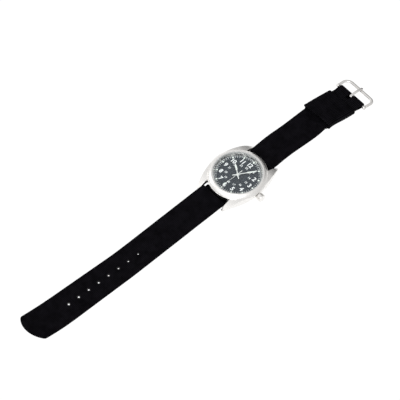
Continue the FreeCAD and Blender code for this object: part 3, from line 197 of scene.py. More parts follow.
def brushed_metal(name, colour, rough=0.3, turned=True):
    """Satin steel. Turned faces carry circular strokes around Z, the lugs strokes along Y."""
    s = Shader(name)
    here = s.place()
    x, y, z = s.parts(here)
    radius = s.math("SQRT", s.math("ADD", s.math("MULTIPLY", x, x), s.math("MULTIPLY", y, y)))
    angle = s.math("ARCTAN2", y, x)
    strokes = s.noise(s.join(s.math("MULTIPLY", radius, 14.0), s.math("MULTIPLY", angle, 2.0),
                             s.math("MULTIPLY", z, 14.0)), 1.0, 4.0, 0.65)
    straight = s.noise(s.join(s.math("MULTIPLY", x, 14.0), s.math("MULTIPLY", y, 0.7),
                              s.math("MULTIPLY", z, 14.0)), 1.0, 4.0, 0.65)
    if turned:
        on_lug = s.span(radius, 19.05, 19.35)
        strokes = s.mix(on_lug, strokes, straight)
    else:
        strokes = straight
    marks = s.noise(here, 0.55, 5.0, 0.6)
    scratch = s.span(s.noise(s.join(s.math("MULTIPLY", x, 0.6), s.math("MULTIPLY", y, 5.0), z),
                             1.0, 3.0, 0.5), 0.66, 0.72)
    roughness = s.math("ADD", s.span(strokes, 0.3, 0.7, rough - 0.05, rough + 0.06),
                       s.span(marks, 0.35, 0.65, -0.03, 0.03))
    roughness = s.math("ADD", roughness, s.math("MULTIPLY", scratch, 0.05))
    dull = tuple(c * 0.93 for c in colour)
    tint = s.colours(s.span(strokes, 0.3, 0.7), dull, colour)
    tangent = s.add("Tangent", direction_type="RADIAL", axis="Z").outputs[0]
    return s.surface(Base_Color=tint, Metallic=1.0, Roughness=roughness, Anisotropic=0.35,
                     Tangent=tangent, Normal=s.bump(strokes, 0.000012, 0.35))


def polished_metal(name, colour, rough=0.07):
    s = Shader(name)
    here = s.place()
    smudge = s.noise(here, 0.35, 4.0, 0.6)
    hair = s.noise(s.join(*[s.math("MULTIPLY", v, f) for v, f in zip(s.parts(here), (9.0, 1.2, 3.0))]),
                   1.0, 3.0, 0.6)
    roughness = s.math("ADD", s.span(smudge, 0.35, 0.7, rough, rough + 0.06),
                       s.span(hair, 0.62, 0.75, 0.0, 0.06))
    return s.surface(Base_Color=s.colours(smudge, colour, tuple(c * 0.96 for c in colour)),
                     Metallic=1.0, Roughness=roughness, Normal=s.bump(hair, 0.000003, 0.3))


def webbing_material(name, rib=1.0, yarn=0.66):
    """Black nylon webbing. The weave map holds millimetres across and along the piece."""
    s = Shader(name)
    across, along, _ = s.parts(s.add("UVMap", uv_map="weave").outputs[0])
    row = s.math("FLOOR", s.math("DIVIDE", along, rib))
    offset = s.math("MULTIPLY", s.math("MODULO", s.math("ABSOLUTE", row), 2.0), 0.5)
    ridge = s.math("ABSOLUTE", s.math("SINE", s.math("MULTIPLY", along, math.pi / rib)))
    strand = s.math("ABSOLUTE", s.math("SINE", s.math(
        "MULTIPLY", s.math("ADD", s.math("DIVIDE", across, yarn), offset), math.pi)))
    body = s.math("MULTIPLY", s.math("POWER", ridge, 0.7), s.math("POWER", strand, 0.6))
    fibres = s.noise(s.join(s.math("MULTIPLY", across, 11.0), s.math("MULTIPLY", along, 3.0), 0.0),
                     1.0, 3.0, 0.6)
    cloudy = s.noise(s.join(across, along, 3.0), 0.22, 5.0, 0.62)
    height = s.math("ADD", body, s.math("MULTIPLY", fibres, 0.3))
    thread = s.colours(s.span(cloudy, 0.35, 0.65), (0.0036, 0.0032, 0.0043), (0.0088, 0.0079, 0.0106))
    # Painted shade: the gaps between the threads are coloured almost black, far darker than the yarn, for the
    # shade in the weave's hollows.
    tint = s.colours(s.span(body, 0.2, 0.9), (0.0003, 0.0003, 0.0004), thread)
    shine = s.span(fibres, 0.35, 0.75, 0.62, 0.42)
    gloss = s.span(body, 0.3, 0.95, 0.0, 0.03)
    return s.surface(Base_Color=tint, Roughness=shine, Specular_IOR_Level=gloss,
                     Normal=s.bump(height, 0.00012, 0.9))


def grained(name, colour, rough=0.5, metal=0.0, spread=0.12, scale=3.0, depth=0.00001, coat=0.0,
            specular=0.5):
    """Paint, rubber, moulding or plating: a faint two-tone grain in colour, gloss and height."""
    s = Shader(name)
    here = s.place()
    fine = s.noise(here, scale * 4.0, 3.0, 0.6)
    broad = s.noise(here, scale * 0.3, 3.0, 0.5)
    low = tuple(c * (1 - spread) for c in colour)
    high = tuple(min(1.0, c * (1 + spread)) for c in colour)
    tint = s.colours(s.math("MULTIPLY", s.math("ADD", fine, broad), 0.5), low, high)
    return s.surface(Base_Color=tint, Metallic=metal, Coat_Weight=coat, Coat_Roughness=0.1,
                     Specular_IOR_Level=specular,
                     Roughness=s.span(broad, 0.3, 0.7, rough - 0.05, rough + 0.08),
                     Normal=s.bump(fine, depth, 0.5))


def glass_material(name):
    """Clear mineral glass: light passes straight through, with a Fresnel reflection on the outside."""
    s = Shader(name)
    fresnel = s.add("Fresnel", {"IOR": 1.47}).outputs[0]
    inside = s.add("NewGeometry").outputs["Backfacing"]
    mirror = s.math("MULTIPLY", fresnel, s.math("SUBTRACT", 1.0, inside))
    haze = s.noise(s.place(), 0.25, 3.0, 0.5)
    clear = s.add("BsdfTransparent", {"Color": (0.975, 0.985, 0.985)})
    gloss = s.add("BsdfGlossy", {"Color": (1.0, 1.0, 1.0), "Roughness": s.span(haze, 0.4, 0.7, 0.01, 0.035)})
    return s.close(s.add("MixShader", {0: mirror, 1: clear, 2: gloss}).outputs[0])


def dial_material(name):
    """Matt slate lacquer with a very fine grain and a faint sheen from the centre."""
    s = Shader(name)
    here = s.place()
    x, y, _ = s.parts(here)
    angle = s.math("ARCTAN2", y, x)
    grain = s.noise(here, 14.0, 4.0, 0.7)
    sweep = s.noise(s.join(s.math("MULTIPLY", angle, 18.0), 0.0, 0.0), 1.0, 2.0, 0.5)
    tint = s.colours(s.span(s.math("ADD", s.math("MULTIPLY", grain, 0.8),
                                   s.math("MULTIPLY", sweep, 0.2)), 0.3, 0.7),
                     (0.027, 0.034, 0.043), (0.041, 0.051, 0.062))
    return s.surface(Base_Color=tint, Roughness=s.span(grain, 0.3, 0.7, 0.5, 0.62),
                     Specular_IOR_Level=0.2,
                     Normal=s.bump(grain, 0.000006, 0.5))


STEEL = (0.84, 0.825, 0.805)
MATERIALS = {
    "brushed_case": brushed_metal("case_steel", STEEL, 0.27),
    "polished_steel": polished_metal("polished_steel", (0.69, 0.675, 0.66)),
    "bar_steel": brushed_metal("bar_steel", (0.62, 0.61, 0.60), 0.25, turned=False),
    "movement_steel": brushed_metal("movement_steel", (0.55, 0.56, 0.58), 0.22, turned=False),
    "battery_steel": brushed_metal("battery_steel", (0.72, 0.72, 0.73), 0.3),
    "seal_rubber": grained("seal_rubber", (0.02, 0.02, 0.021), 0.6),
    "seal_plastic": grained("seal_plastic", (0.45, 0.46, 0.46), 0.3, coat=0.2),
    "crystal_glass": glass_material("crystal_glass"),
    "dial_lacquer": dial_material("dial_lacquer"),
    "hand_lacquer": grained("hand_lacquer", (0.86, 0.87, 0.85), 0.3, spread=0.03, coat=0.3),
    "movement_brass": grained("movement_brass", (0.80, 0.60, 0.28), 0.25, 1.0, 0.08, 5.0),
    "plated_brass": brushed_metal("plated_brass", (0.72, 0.68, 0.58), 0.3),
    "holder_plastic": grained("holder_plastic", (0.80, 0.80, 0.76), 0.45, spread=0.04),
    "rotor_plastic": grained("rotor_plastic", (0.10, 0.08, 0.07), 0.35),
    "core_iron": brushed_metal("core_iron", (0.42, 0.42, 0.44), 0.35, turned=False),
    "copper_wire": grained("copper_wire", (0.75, 0.30, 0.12), 0.25, 1.0, 0.15, 8.0, 0.00003),
    "board_laminate": grained("board_laminate", (0.04, 0.16, 0.06), 0.35, coat=0.4),
    "chip_plastic": grained("chip_plastic", (0.015, 0.015, 0.016), 0.45),
    "strap_webbing": webbing_material("strap_webbing"),
}
WHITE_PRINT = grained("white_print", (0.94, 0.95, 0.95), 0.5, spread=0.02)
LUME = grained("lume", (0.90, 0.95, 0.89), 0.6, spread=0.03, scale=8.0, depth=0.00002)
# Dark nylon of the hole rims; their inner sides also stand as painted shade inside the holes.
SEALED_EDGE_AND_HOLE_SHADE = grained("sealed_edge_and_hole_shade", (0.006, 0.006, 0.007), 0.35, depth=0.00003, specular=0.2)
THREAD = grained("thread", (0.006, 0.0055, 0.007), 0.6, scale=12.0, depth=0.00003, specular=0.05)


# ---------------------------------------------------------------------------------------------
# Mesh helpers
# ---------------------------------------------------------------------------------------------

def mesh_object(name, points, faces, material, smooth=True):
    mesh = bpy.data.meshes.new(name)
    mesh.from_pydata([tuple(p) for p in points], [], [tuple(f) for f in faces])
    mesh.validate()
    mesh.update()
    if smooth:
        mesh.polygons.foreach_set("use_smooth", [True] * len(mesh.polygons))
    mesh.materials.append(material)
    obj = bpy.data.objects.new(name, mesh)
    bpy.context.scene.collection.objects.link(obj)
    return obj


def joined(name, shapes, material, body, smooth=False):
    """One object from many (points, faces) lists in millimetres."""
    points, faces = [], []
    for some_points, some_faces in shapes:
        base = len(points)
        points += [(x * MM, y * MM, z * MM) for x, y, z in some_points]
        faces += [tuple(v + base for v in f) for f in some_faces]
    obj = mesh_object(name, points, faces, material, smooth)
    shell = bmesh.new()
    shell.from_mesh(obj.data)
    bmesh.ops.recalc_face_normals(shell, faces=shell.faces)
    shell.to_mesh(obj.data)
    shell.free()
    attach(obj, body)
    return obj


def weave_map(obj, uv):
    """Tells the webbing material where each point lies across and along the weave, in millimetres."""
    layer = obj.data.uv_layers.new(name="weave")
    corner = np.zeros(len(obj.data.loops), np.int32)
    obj.data.loops.foreach_get("vertex_index", corner)
    layer.data.foreach_set("uv", np.array(uv, np.float32)[corner].ravel())


def tube_faces(rows, ring, closed=False):
    """Faces between rings of points that follow one another: a capped tube, or a closed loop."""
    faces = []
    for i in range(rows if closed else rows - 1):
        n = (i + 1) % rows
        for k in range(ring):
            m = (k + 1) % ring
            faces.append((i * ring + k, i * ring + m, n * ring + m, n * ring + k))
    if not closed:
        last = (rows - 1) * ring
        faces += [tuple(reversed(range(ring))), tuple(range(last, last + ring))]
    return faces


def rounded_path(corners, radii, step):
    """Even steps along a line in the YZ plane with rounded corners: places, directions, lengths."""
    points = [np.array(corners[0], float)]
    for i in range(1, len(corners) - 1):
        before, here, after = (np.array(corners[k], float) for k in (i - 1, i, i + 1))
        into, away = here - before, after - here
        into, away = into / np.linalg.norm(into), away / np.linalg.norm(away)
        turn = math.atan2(into[0] * away[1] - into[1] * away[0], float(into @ away))
        start = here - into * radii[i] * math.tan(abs(turn) / 2)
        side = math.copysign(1.0, turn)
        centre = start + np.array([-into[1], into[0]]) * radii[i] * side
        for k in range(33):
            a = turn * k / 32
            arm = start - centre
            points.append(centre + np.array([arm[0] * math.cos(a) - arm[1] * math.sin(a),
                                             arm[0] * math.sin(a) + arm[1] * math.cos(a)]))
    points.append(np.array(corners[-1], float))
    points = np.array(points)
    lengths = np.concatenate([[0], np.cumsum(np.linalg.norm(np.diff(points, axis=0), axis=1))])
    count = max(2, int(round(lengths[-1] / step)))
    at = np.linspace(0, lengths[-1], count + 1)
    place = np.stack([np.interp(at, lengths, points[:, k]) for k in (0, 1)], 1)
    way = np.gradient(place, axis=0)
    way /= np.linalg.norm(way, axis=1)[:, None]
    return place, way, at


def across_columns():
    """Places across the strap, closer together at the middle and at the edges."""
    middle = list(np.arange(-2.5, 2.5001, 0.25))
    side = list(np.arange(3.0, 9.3, 0.5)) + [9.35, 9.6, 9.78, 9.9, 9.97]
    return np.array([-x for x in reversed(side)] + middle + side)


def edge_swell(distance):
    """How thick the webbing is, as a share, at a distance from its edge."""
    reach = np.clip(1 - distance / 0.55, 0, 1)
    return 0.45 + 0.55 * np.sqrt(np.clip(1 - reach ** 2, 0, 1))


def tip_line(x):
    """How far the rounded tip reaches at a place across the strap."""
    x = np.abs(x)
    middle = TIP_Y - TIP_RADIUS
    inner_x = STRAP_HALF - TIP_CORNER
    inner_y = middle + math.sqrt((TIP_RADIUS - TIP_CORNER) ** 2 - inner_x ** 2)
    meet = inner_x * TIP_RADIUS / (TIP_RADIUS - TIP_CORNER)
    big = middle + np.sqrt(np.clip(TIP_RADIUS ** 2 - x ** 2, 0, None))
    small = inner_y + np.sqrt(np.clip(TIP_CORNER ** 2 - (x - inner_x) ** 2, 0, None))
    return np.where(x < meet, big, small)


def sheet(name, place, way, along, x_across, lift, keep, direction=1.0):
    """A thick ribbon: lift gives the height of each face's surface, keep says which cells exist."""
    rows, cols = len(place), len(x_across)
    normal = np.stack([-way[:, 1], way[:, 0]], 1)
    x = np.broadcast_to(x_across, (rows, cols)).copy()
    y = np.broadcast_to(place[:, :1], (rows, cols)).copy()
    z = np.broadcast_to(place[:, 1:], (rows, cols)).copy()
    s = np.broadcast_to(along[:, None], (rows, cols)).copy()
    x, y, z, s, top, low = lift(x, y, z, s)
    ny, nz = normal[:, :1], normal[:, 1:]
    upper = np.stack([x, (y + ny * top) * direction, z + nz * top], 2).reshape(-1, 3)
    lower = np.stack([x, (y - ny * low) * direction, z - nz * low], 2).reshape(-1, 3)
    points = np.concatenate([upper, lower]) * MM
    uv = np.stack([x, s], 2).reshape(-1, 2)
    uv = np.concatenate([uv, uv])
    index = np.arange(rows * cols).reshape(rows, cols)
    half = rows * cols
    faces, border = [], {}
    flip = direction < 0
    for i in range(rows - 1):
        for j in range(cols - 1):
            if not keep(i, j):
                continue
            a, b, c, d = index[i, j], index[i, j + 1], index[i + 1, j + 1], index[i + 1, j]
            quad = (a, b, c, d) if not flip else (d, c, b, a)
            faces.append(quad)
            faces.append(tuple(v + half for v in reversed(quad)))
            for p, q in ((quad[0], quad[1]), (quad[1], quad[2]), (quad[2], quad[3]), (quad[3], quad[0])):
                if (q, p) in border:
                    del border[(q, p)]
                else:
                    border[(p, q)] = True
    faces += [(q, p, p + half, q + half) for p, q in border]
    used = sorted({v for f in faces for v in f})
    renumber = {v: k for k, v in enumerate(used)}
    faces = [tuple(renumber[v] for v in f) for f in faces]
    obj = mesh_object(name, points[used], faces, MATERIALS["strap_webbing"])
    weave_map(obj, uv[used])
    return obj


def ribs(s, x, amount):
    """The height of the woven ribs, which run across the webbing."""
    sway = 0.12 * np.sin(x * 1.7) + 0.05 * np.sin(x * 4.1 + s * 0.3)
    return amount * np.abs(np.sin(math.pi * (s + sway)))


# ---------------------------------------------------------------------------------------------
# Strap
# ---------------------------------------------------------------------------------------------

def bar_corners():
    """The path from under the case and around the spring bar, level over its top."""
    bend = BAR_RADIUS + 0.02 + STRAP_THICK / 2
    top, wall = BAR_Z + bend, BAR_Y - bend
    corners = [(0, STRAP_THICK / 2), (wall, STRAP_THICK / 2), (wall, top), (BAR_Y + 1.6, top)]
    return corners, [0, 1.4, bend, 8.0]


def strap_sway(x, y):
    """How far a place on the buckle side is moved to the right and lifted."""
    side = BEND * (np.clip(y - BEND_START, 0, None) / BEND_SPAN) ** 2
    hump = np.sin(math.pi * np.clip((y - LIFT_START) / LIFT_SPAN, 0, 1)) ** 2
    right = 0.5 + x / (2 * STRAP_HALF)
    pinch = np.exp(-((y - PINCH_Y) / PINCH_SPAN) ** 2) * right
    return side - PINCH_IN * pinch, LIFT * hump * (1 - right) + PINCH_UP * pinch


def swayed(shape):
    """The same (points, faces) moved along with the end of the buckle side."""
    points, faces = shape
    return [(x + float(strap_sway(x, y)[0]), y, z) for x, y, z in points], faces


def buckle_side():
    corners, radii = bar_corners()
    over, under = 1.5 * STRAP_THICK + 1.2, 1.5 * STRAP_THICK + 0.05
    wrap = PIN_RADIUS + 0.06 + STRAP_THICK / 2
    top, low, around = PIN_Z + wrap, PIN_Z - wrap, PIN_Y + wrap
    corners += [(CREST_Y, CREST_Z), (63.0, over), (90.3, over), (93.0, top), (around, top),
                (around, low), (93.0, low), (90.3, under), (66.2, under)]
    radii += [60.0, 80.0, 2.0, 2.0, wrap, wrap, 2.0, 2.0, 0]
    place, way, along = rounded_path(corners, radii, 0.2)
    x_across = across_columns()
    thick = STRAP_THICK / 2 - 0.06
    first = np.flatnonzero(place[:, 0] > SLOT_TOP_Y)[0]
    last = np.flatnonzero(place[:, 0] > SLOT_LOW_Y)[-1]
    length = along[-1]

    def lift(x, y, z, s):
        swell = edge_swell(STRAP_HALF - np.abs(x)) * edge_swell(np.minimum(length - s, 9.0))
        height = thick * swell + ribs(s, x, 0.055) * swell
        side, rise = strap_sway(x, y)
        return x + side, y, z + rise, s, height, height

    def keep(i, j):
        in_slot = first <= i < last and abs(x_across[j] + x_across[j + 1]) / 2 < SLOT_HALF
        return not in_slot

    band = sheet("strap_12_webbing", place, way, along, x_across, lift, keep)
    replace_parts(band, "strap_buckle_side", "strap_center")
    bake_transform(band)


def tip_rise(x, y):
    """How far the tip side stands above its flat CAD shape: a slow wave, a twist and a curl."""
    wave = 0.10 * np.sin(y * 0.055 + 0.6) * np.clip((y - 40) / 40, 0, 1)
    past = y - TWIST_START
    twist = TWIST_SLOPE * (past + np.sqrt(past ** 2 + TWIST_EASE ** 2)) * (0.5 - x / (2 * STRAP_HALF))
    curl = (CURL + CURL_SKEW * x) * (np.clip(y - CURL_START, 0, None) / CURL_SPAN) ** 2
    return wave + twist + curl


def tip_side():
    corners, radii = bar_corners()
    corners += [(LAND_Y, STRAP_THICK / 2), (TIP_Y, STRAP_THICK / 2)]
    radii += [150.0, 0]
    place, way, along = rounded_path(corners, radii, 0.2)
    x_across = across_columns()
    thick = STRAP_THICK / 2 - 0.06
    holes = [FIRST_HOLE_Y + k * HOLE_PITCH for k in range(HOLE_COUNT)]
    rows_y = place[:, 0].copy()
    # rows are moved so that one lies on each hole's centre
    for hole in holes:
        nearest = np.argmin(np.abs(rows_y - hole))
        shift = hole - rows_y[nearest]
        near = np.clip(1 - np.abs(rows_y - hole) / (HOLE_PITCH / 2), 0, 1)
        place[:, 0] += shift * np.where(near > 0, np.minimum(1, near * 4), 0)
    rows_y = place[:, 0].copy()
    tip_start = TIP_Y - TIP_REACH

    def lift(x, y, z, s):
        tip_y = tip_line(x) + TIP_OVER + TIP_SKEW * (0.5 - x / (2 * STRAP_HALF))
        share = np.clip((y - tip_start) / (TIP_Y - tip_start), 0, 1)
        y = np.where(y > tip_start, tip_start + share * (tip_y - tip_start), y)
        rim = np.zeros_like(x)
        for hole in holes:
            dx, dy = x.copy(), y - hole
            square = np.maximum(np.abs(dx), np.abs(dy))
            radius = np.maximum(np.hypot(dx, dy), 1e-6)
            near = np.clip((HOLE_CELL - square) / (HOLE_CELL - HOLE_OPEN), 0, 1)
            near = near * near * (3 - 2 * near)
            scale = 1 + near * (square / radius * HOLE_RADIUS / HOLE_OPEN - 1)
            inside = square < HOLE_CELL
            x, y = np.where(inside, dx * scale, x), np.where(inside, hole + dy * scale, y)
            gap = np.hypot(x, y - hole) - HOLE_RADIUS
            rim = np.maximum(rim, np.clip(1 - np.abs(gap - 0.28) / 0.42, 0, 1) * (square < 3))
        s = s + (y - np.broadcast_to(rows_y[:, None], y.shape))
        edge = np.minimum(STRAP_HALF - np.abs(x), np.where(y > tip_start, tip_y - y, 9.0))
        swell = edge_swell(edge)
        for hole in holes:
            gap = np.hypot(x, y - hole) - HOLE_RADIUS
            swell = np.minimum(swell, np.where(gap < 0.5, edge_swell(np.maximum(gap, 0) + 0.12), 1))
        height = thick * swell + ribs(s, x, 0.055) * swell * (1 - rim) + 0.09 * rim
        return x, y, z + tip_rise(x, y), s, height, height

    def keep(i, j):
        middle_x = abs(x_across[j] + x_across[j + 1]) / 2
        middle_y = (rows_y[i] + rows_y[i + 1]) / 2
        return not (middle_x < HOLE_OPEN and min(abs(middle_y - h) for h in holes) < HOLE_OPEN)

    band = sheet("strap_6_webbing", place, way, along, x_across, lift, keep, direction=-1.0)
    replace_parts(band, "strap_tip_side", "strap_center")
    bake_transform(band)
    # Each hole's rim also reaches inside the hole as painted shade.
    hole_rims_and_shade = [hole_rim(hole) for hole in holes]
    joined("strap_hole_rims_and_shade", hole_rims_and_shade, SEALED_EDGE_AND_HOLE_SHADE, "strap_6", smooth=True)


def hole_rim(hole, around=32, ring=12):
    """The melted and pressed edge that lines one buckle hole. Its dark inner side reaches well inside the
    hole as painted shade, most on the holes nearer the case.
    """
    points, outer, thick = [], 1.38, 0.62
    # Painted shade: the inner edge reaches in to about 0.4 mm on the first hole and 0.6 mm on the last, so
    # the holes nearer the case look darker.
    middle = 0.88 + 0.12 * (hole - FIRST_HOLE_Y) / (HOLE_PITCH * HOLE_COUNT)
    for i in range(around):
        a = TAU * i / around
        for k in range(ring):
            b = TAU * k / ring
            reach = middle + (outer - middle) * math.cos(b)
            x, y = reach * math.cos(a), hole + reach * math.sin(a)
            height = thick * math.sin(b) * (0.94 + 0.06 * math.cos(3 * a + hole))
            points.append((x, -y, STRAP_THICK / 2 + float(tip_rise(x, y)) + height))
    return points, tube_faces(around, ring, closed=True)


def swept(path, halves, thick, around=20, power=0.5):
    """A rounded strip along a line of (y, z) places, with a half width at each, centred on X."""
    path = np.array(path, float)
    way = np.gradient(path, axis=0)
    way /= np.linalg.norm(way, axis=1)[:, None]
    points = []
    for (y, z), (wy, wz), half in zip(path, way, halves):
        for k in range(around):
            a = TAU * k / around
            c, d = math.cos(a), math.sin(a)
            x = half * math.copysign(abs(c) ** power, c)
            out = thick / 2 * math.copysign(abs(d) ** power, d)
            points.append((x, y - wz * out, z + wy * out))
    return points, tube_faces(len(path), around)


def tongue():
    """A flat wire looped around the pin and bowed over the front bar, aside as the strap's end is."""
    path, halves = [], []
    for k in range(47):
        a = math.radians(-40.0 - 5.0 * k)
        path.append((PIN_Y + EYE_LINE * math.cos(a), PIN_Z + EYE_LINE * math.sin(a)))
        halves.append(TONGUE_HALF)
    start_y, start_z = path[-1]
    drop = FRAME_DROP * (TONGUE_END - PIN_Y) / (FRAME_FRONT - PIN_Y)
    for k in range(1, 41):
        t = k / 40
        bow = 0.30 * math.sin(math.pi * t) - 0.35 * max(0.0, t - 0.85) ** 2 / 0.0225
        path.append((start_y + (TONGUE_END - start_y) * t, start_z - drop * t + 0.12 * t + bow))
        halves.append(TONGUE_HALF * (1 - 0.12 * t) * (1.0 if t < 0.96 else 0.8))
    points, faces = swept(path, halves, TONGUE_THICK)
    aside = float(strap_sway(0.0, PIN_Y)[0])
    points = [(x + aside + 0.3 * (max(0.0, y - PIN_Y) / 8.0) ** 2, y, z) for x, y, z in points]
    piece = joined("tongue_wire", [(points, faces)], MATERIALS["polished_steel"],
                   "tongue", smooth=True)
    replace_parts(piece, "buckle_tongue")


def eye(x, around=40, ring=14):
    """The flattened ring at the end of an arm, turning around the pin."""
    points = []
    for i in range(around):
        a = TAU * i / around
        for k in range(ring):
            b = TAU * k / ring
            reach = EYE_LINE + 0.29 * math.cos(b)
            points.append((x + 0.8 * math.sin(b), PIN_Y + reach * math.cos(a), PIN_Z + reach * math.sin(a)))
    return points, tube_faces(around, ring, closed=True)


def buckle_wire(around=20):
    """The arms and front bar: one flattened wire bent round two corners."""
    start = PIN_Y + EYE_LINE
    place, way, along = rounded_path(
        [(-FRAME_HALF, start), (-FRAME_HALF, FRAME_FRONT), (FRAME_HALF, FRAME_FRONT), (FRAME_HALF, start)],
        [0, FRAME_CORNER, FRAME_CORNER, 0], 0.3)
    points = []
    for (x, y), (wx, wy), s in zip(place, way, along):
        reach = (y - PIN_Y) / (FRAME_FRONT - PIN_Y)
        bulge = -0.45 * math.sin(math.pi * min(1.0, reach)) * (1.0 if x < 0 else 0.0)
        z = PIN_Z - FRAME_DROP * reach
        wide = WIRE_WIDE * (1 + 0.02 * math.sin(s * 0.9))
        for k in range(around):
            a = TAU * k / around
            out = wide * math.cos(a)
            points.append((x + bulge - wy * out, y + wx * out, z + WIRE_THICK * math.sin(a)))
    return points, tube_faces(len(place), around)


def buckle():
    """The frame and the pin. They follow the strap's bent end, so they lie to the right of the CAD's."""
    shapes = [swayed(buckle_wire()), swayed(eye(-FRAME_HALF)), swayed(eye(FRAME_HALF))]
    frame_wire = joined("buckle_frame_wire", shapes, MATERIALS["polished_steel"],
                        "buckle", smooth=True)
    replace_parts(frame_wire, "buckle_frame")
    spread = np.concatenate([[-PIN_HALF, -PIN_HALF + 0.12], np.linspace(-PIN_HALF + 0.3, PIN_HALF - 0.3, 40),
                             [PIN_HALF - 0.12, PIN_HALF]])
    points, around = [], 28
    for i, x in enumerate(spread):
        end = min(i, len(spread) - 1 - i)
        radius = PIN_RADIUS * (0.55, 0.85, 1.0)[min(end, 2)]
        for k in range(around):
            a = TAU * k / around
            points.append((x, PIN_Y + radius * math.cos(a), PIN_Z + radius * math.sin(a)))
    rod = joined("buckle_pin_rod", [swayed((points, tube_faces(len(spread), around)))],
                 MATERIALS["polished_steel"], "strap_12", smooth=True)
    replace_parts(rod, "buckle_pin")


def stitches():
    """Two rows of lock stitches that close the loop around the buckle pin."""
    top, count, first, pitch = 2.0 * STRAP_THICK + 1.2, 11, -8.2, 1.64
    points, faces = swept([(-0.6, -0.10), (-0.52, 0.0), (-0.3, 0.055), (0.0, 0.07),
                           (0.3, 0.055), (0.52, 0.0), (0.6, -0.10)],
                          [0.10, 0.15, 0.17, 0.17, 0.17, 0.15, 0.10], 0.24, 10, 1.0)
    rows = []
    for row in (88.9, 90.0):
        for k in range(count):
            middle = first + pitch * k
            rows.append(swayed(([(middle + y, row + x, top + z) for x, y, z in points], faces)))
    joined("buckle_stitches", rows, THREAD, "strap_12")


def bar_springs():
    """Each spring bar's coil in two halves, each with a mesh of its own."""
    turns, wire, coil, around, ring, gap = 22, 0.085, 0.34, 18, 8, 0.1
    count = turns * around
    for bar, bar_y in (("12", BAR_Y), ("6", -BAR_Y)):
        for side, sign in (("right", 1.0), ("left", -1.0)):
            points = []
            for i in range(count + 1):
                a = TAU * i / around
                x = gap + (SPRING_HALF - gap) * i / count
                for k in range(ring):
                    b = TAU * k / ring
                    reach = coil + wire * math.cos(b)
                    points.append((sign * (x + wire * math.sin(b)), bar_y + reach * math.cos(a),
                                   BAR_Z + reach * math.sin(a)))
            half = joined(f"spring_bar_coil_{bar}_{side}", [(points, tube_faces(count + 1, ring))],
                          MATERIALS["bar_steel"], "head", smooth=True)
            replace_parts(half, f"spring_bar_spring_{bar}")
            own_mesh(half)


def keeper():
    """A wide loop of the same webbing across the strap, puffed up slightly at its open mouth."""
    steps = 300
    rows = np.arange(0, KEEPER_LENGTH + 1e-6, 0.4)
    edge = np.minimum(rows, KEEPER_LENGTH - rows)
    hem = 1 + 0.4 * np.exp(-((rows - 0.8) / 0.55) ** 2)
    swell = edge_swell(edge) * hem
    points, uv = [], []

    def loop(row, offset):
        """Points around the loop at the middle of the webbing plus an offset outwards."""
        t = rows[row] / KEEPER_LENGTH
        low, high = 0.58, 4.7 - 0.55 * t
        middle, rise = (low + high) / 2, (high - low) / 2
        angle = np.linspace(0, TAU, steps, endpoint=False)
        c, s = np.cos(angle), np.sin(angle)
        power = np.where(s > 0, 0.26, np.where(c > 0, 0.45, 0.30))
        half_x = np.where(c > 0, 10.66, 10.74)
        px = half_x * np.sign(c) * np.abs(c) ** power
        pz = rise * np.sign(s) * np.abs(s) ** power
        left = np.clip(0.5 - 0.5 * px / 10.7, 0, 1)
        upper = np.clip(pz / rise, 0, 1)
        puff = (1 - t) ** 2 * (0.3 + 1.5 * np.sqrt(left) * (1 - 0.35 * left))
        pz = pz + upper * (puff + 0.3 * (1 - (px / 10.74) ** 2) * (1 - 0.6 * t))
        back = -2.0 * (1 - t) ** 2 * left * (0.35 + 0.65 * upper) + 0.8 * (1 - left) * t
        nxt = np.stack([np.roll(px, -1) - np.roll(px, 1), np.roll(pz, -1) - np.roll(pz, 1)], 1)
        nxt /= np.linalg.norm(nxt, axis=1)[:, None]
        length = np.concatenate([[0], np.cumsum(np.hypot(np.diff(px), np.diff(pz)))])
        rib = ribs(length, rows[row] - 10.0, 0.05)
        reach = (STRAP_THICK / 2 - 0.05) * swell[row] * offset + rib * offset * swell[row]
        return (px + nxt[:, 1] * reach, middle + pz - nxt[:, 0] * reach, length, back)

    for side in (1.0, -1.0):
        for row in range(len(rows)):
            px, pz, length, back = loop(row, side)
            py = KEEPER_START + rows[row] + back
            aside, rise = strap_sway(px, py)
            px, pz = px + aside, pz + rise
            for k in range(steps):
                points.append((px[k] * MM, py[k] * MM, pz[k] * MM))
                uv.append((rows[row], length[k]))
    count, half = len(rows), len(rows) * steps
    faces = []
    for row in range(count - 1):
        for k in range(steps):
            n = (k + 1) % steps
            a, b, c, d = row * steps + k, row * steps + n, (row + 1) * steps + n, (row + 1) * steps + k
            faces.append((a, d, c, b))
            faces.append((a + half, b + half, c + half, d + half))
    for row, turn in ((0, False), (count - 1, True)):
        for k in range(steps):
            n = (k + 1) % steps
            a, b = row * steps + k, row * steps + n
            quad = (a, b, b + half, a + half)
            faces.append(quad if not turn else tuple(reversed(quad)))
    obj = mesh_object("keeper_webbing", points, faces, MATERIALS["strap_webbing"])
    weave_map(obj, uv)
    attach(obj, "strap_12")
    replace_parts(obj, "keeper_sleeve")


# ---------------------------------------------------------------------------------------------
# Dial printing
# ---------------------------------------------------------------------------------------------

def clock(radius, degrees):
    """A place on the dial from a distance and a clockwise angle from 12 o'clock."""
    a = math.radians(degrees)
    return radius * math.sin(a), radius * math.cos(a)


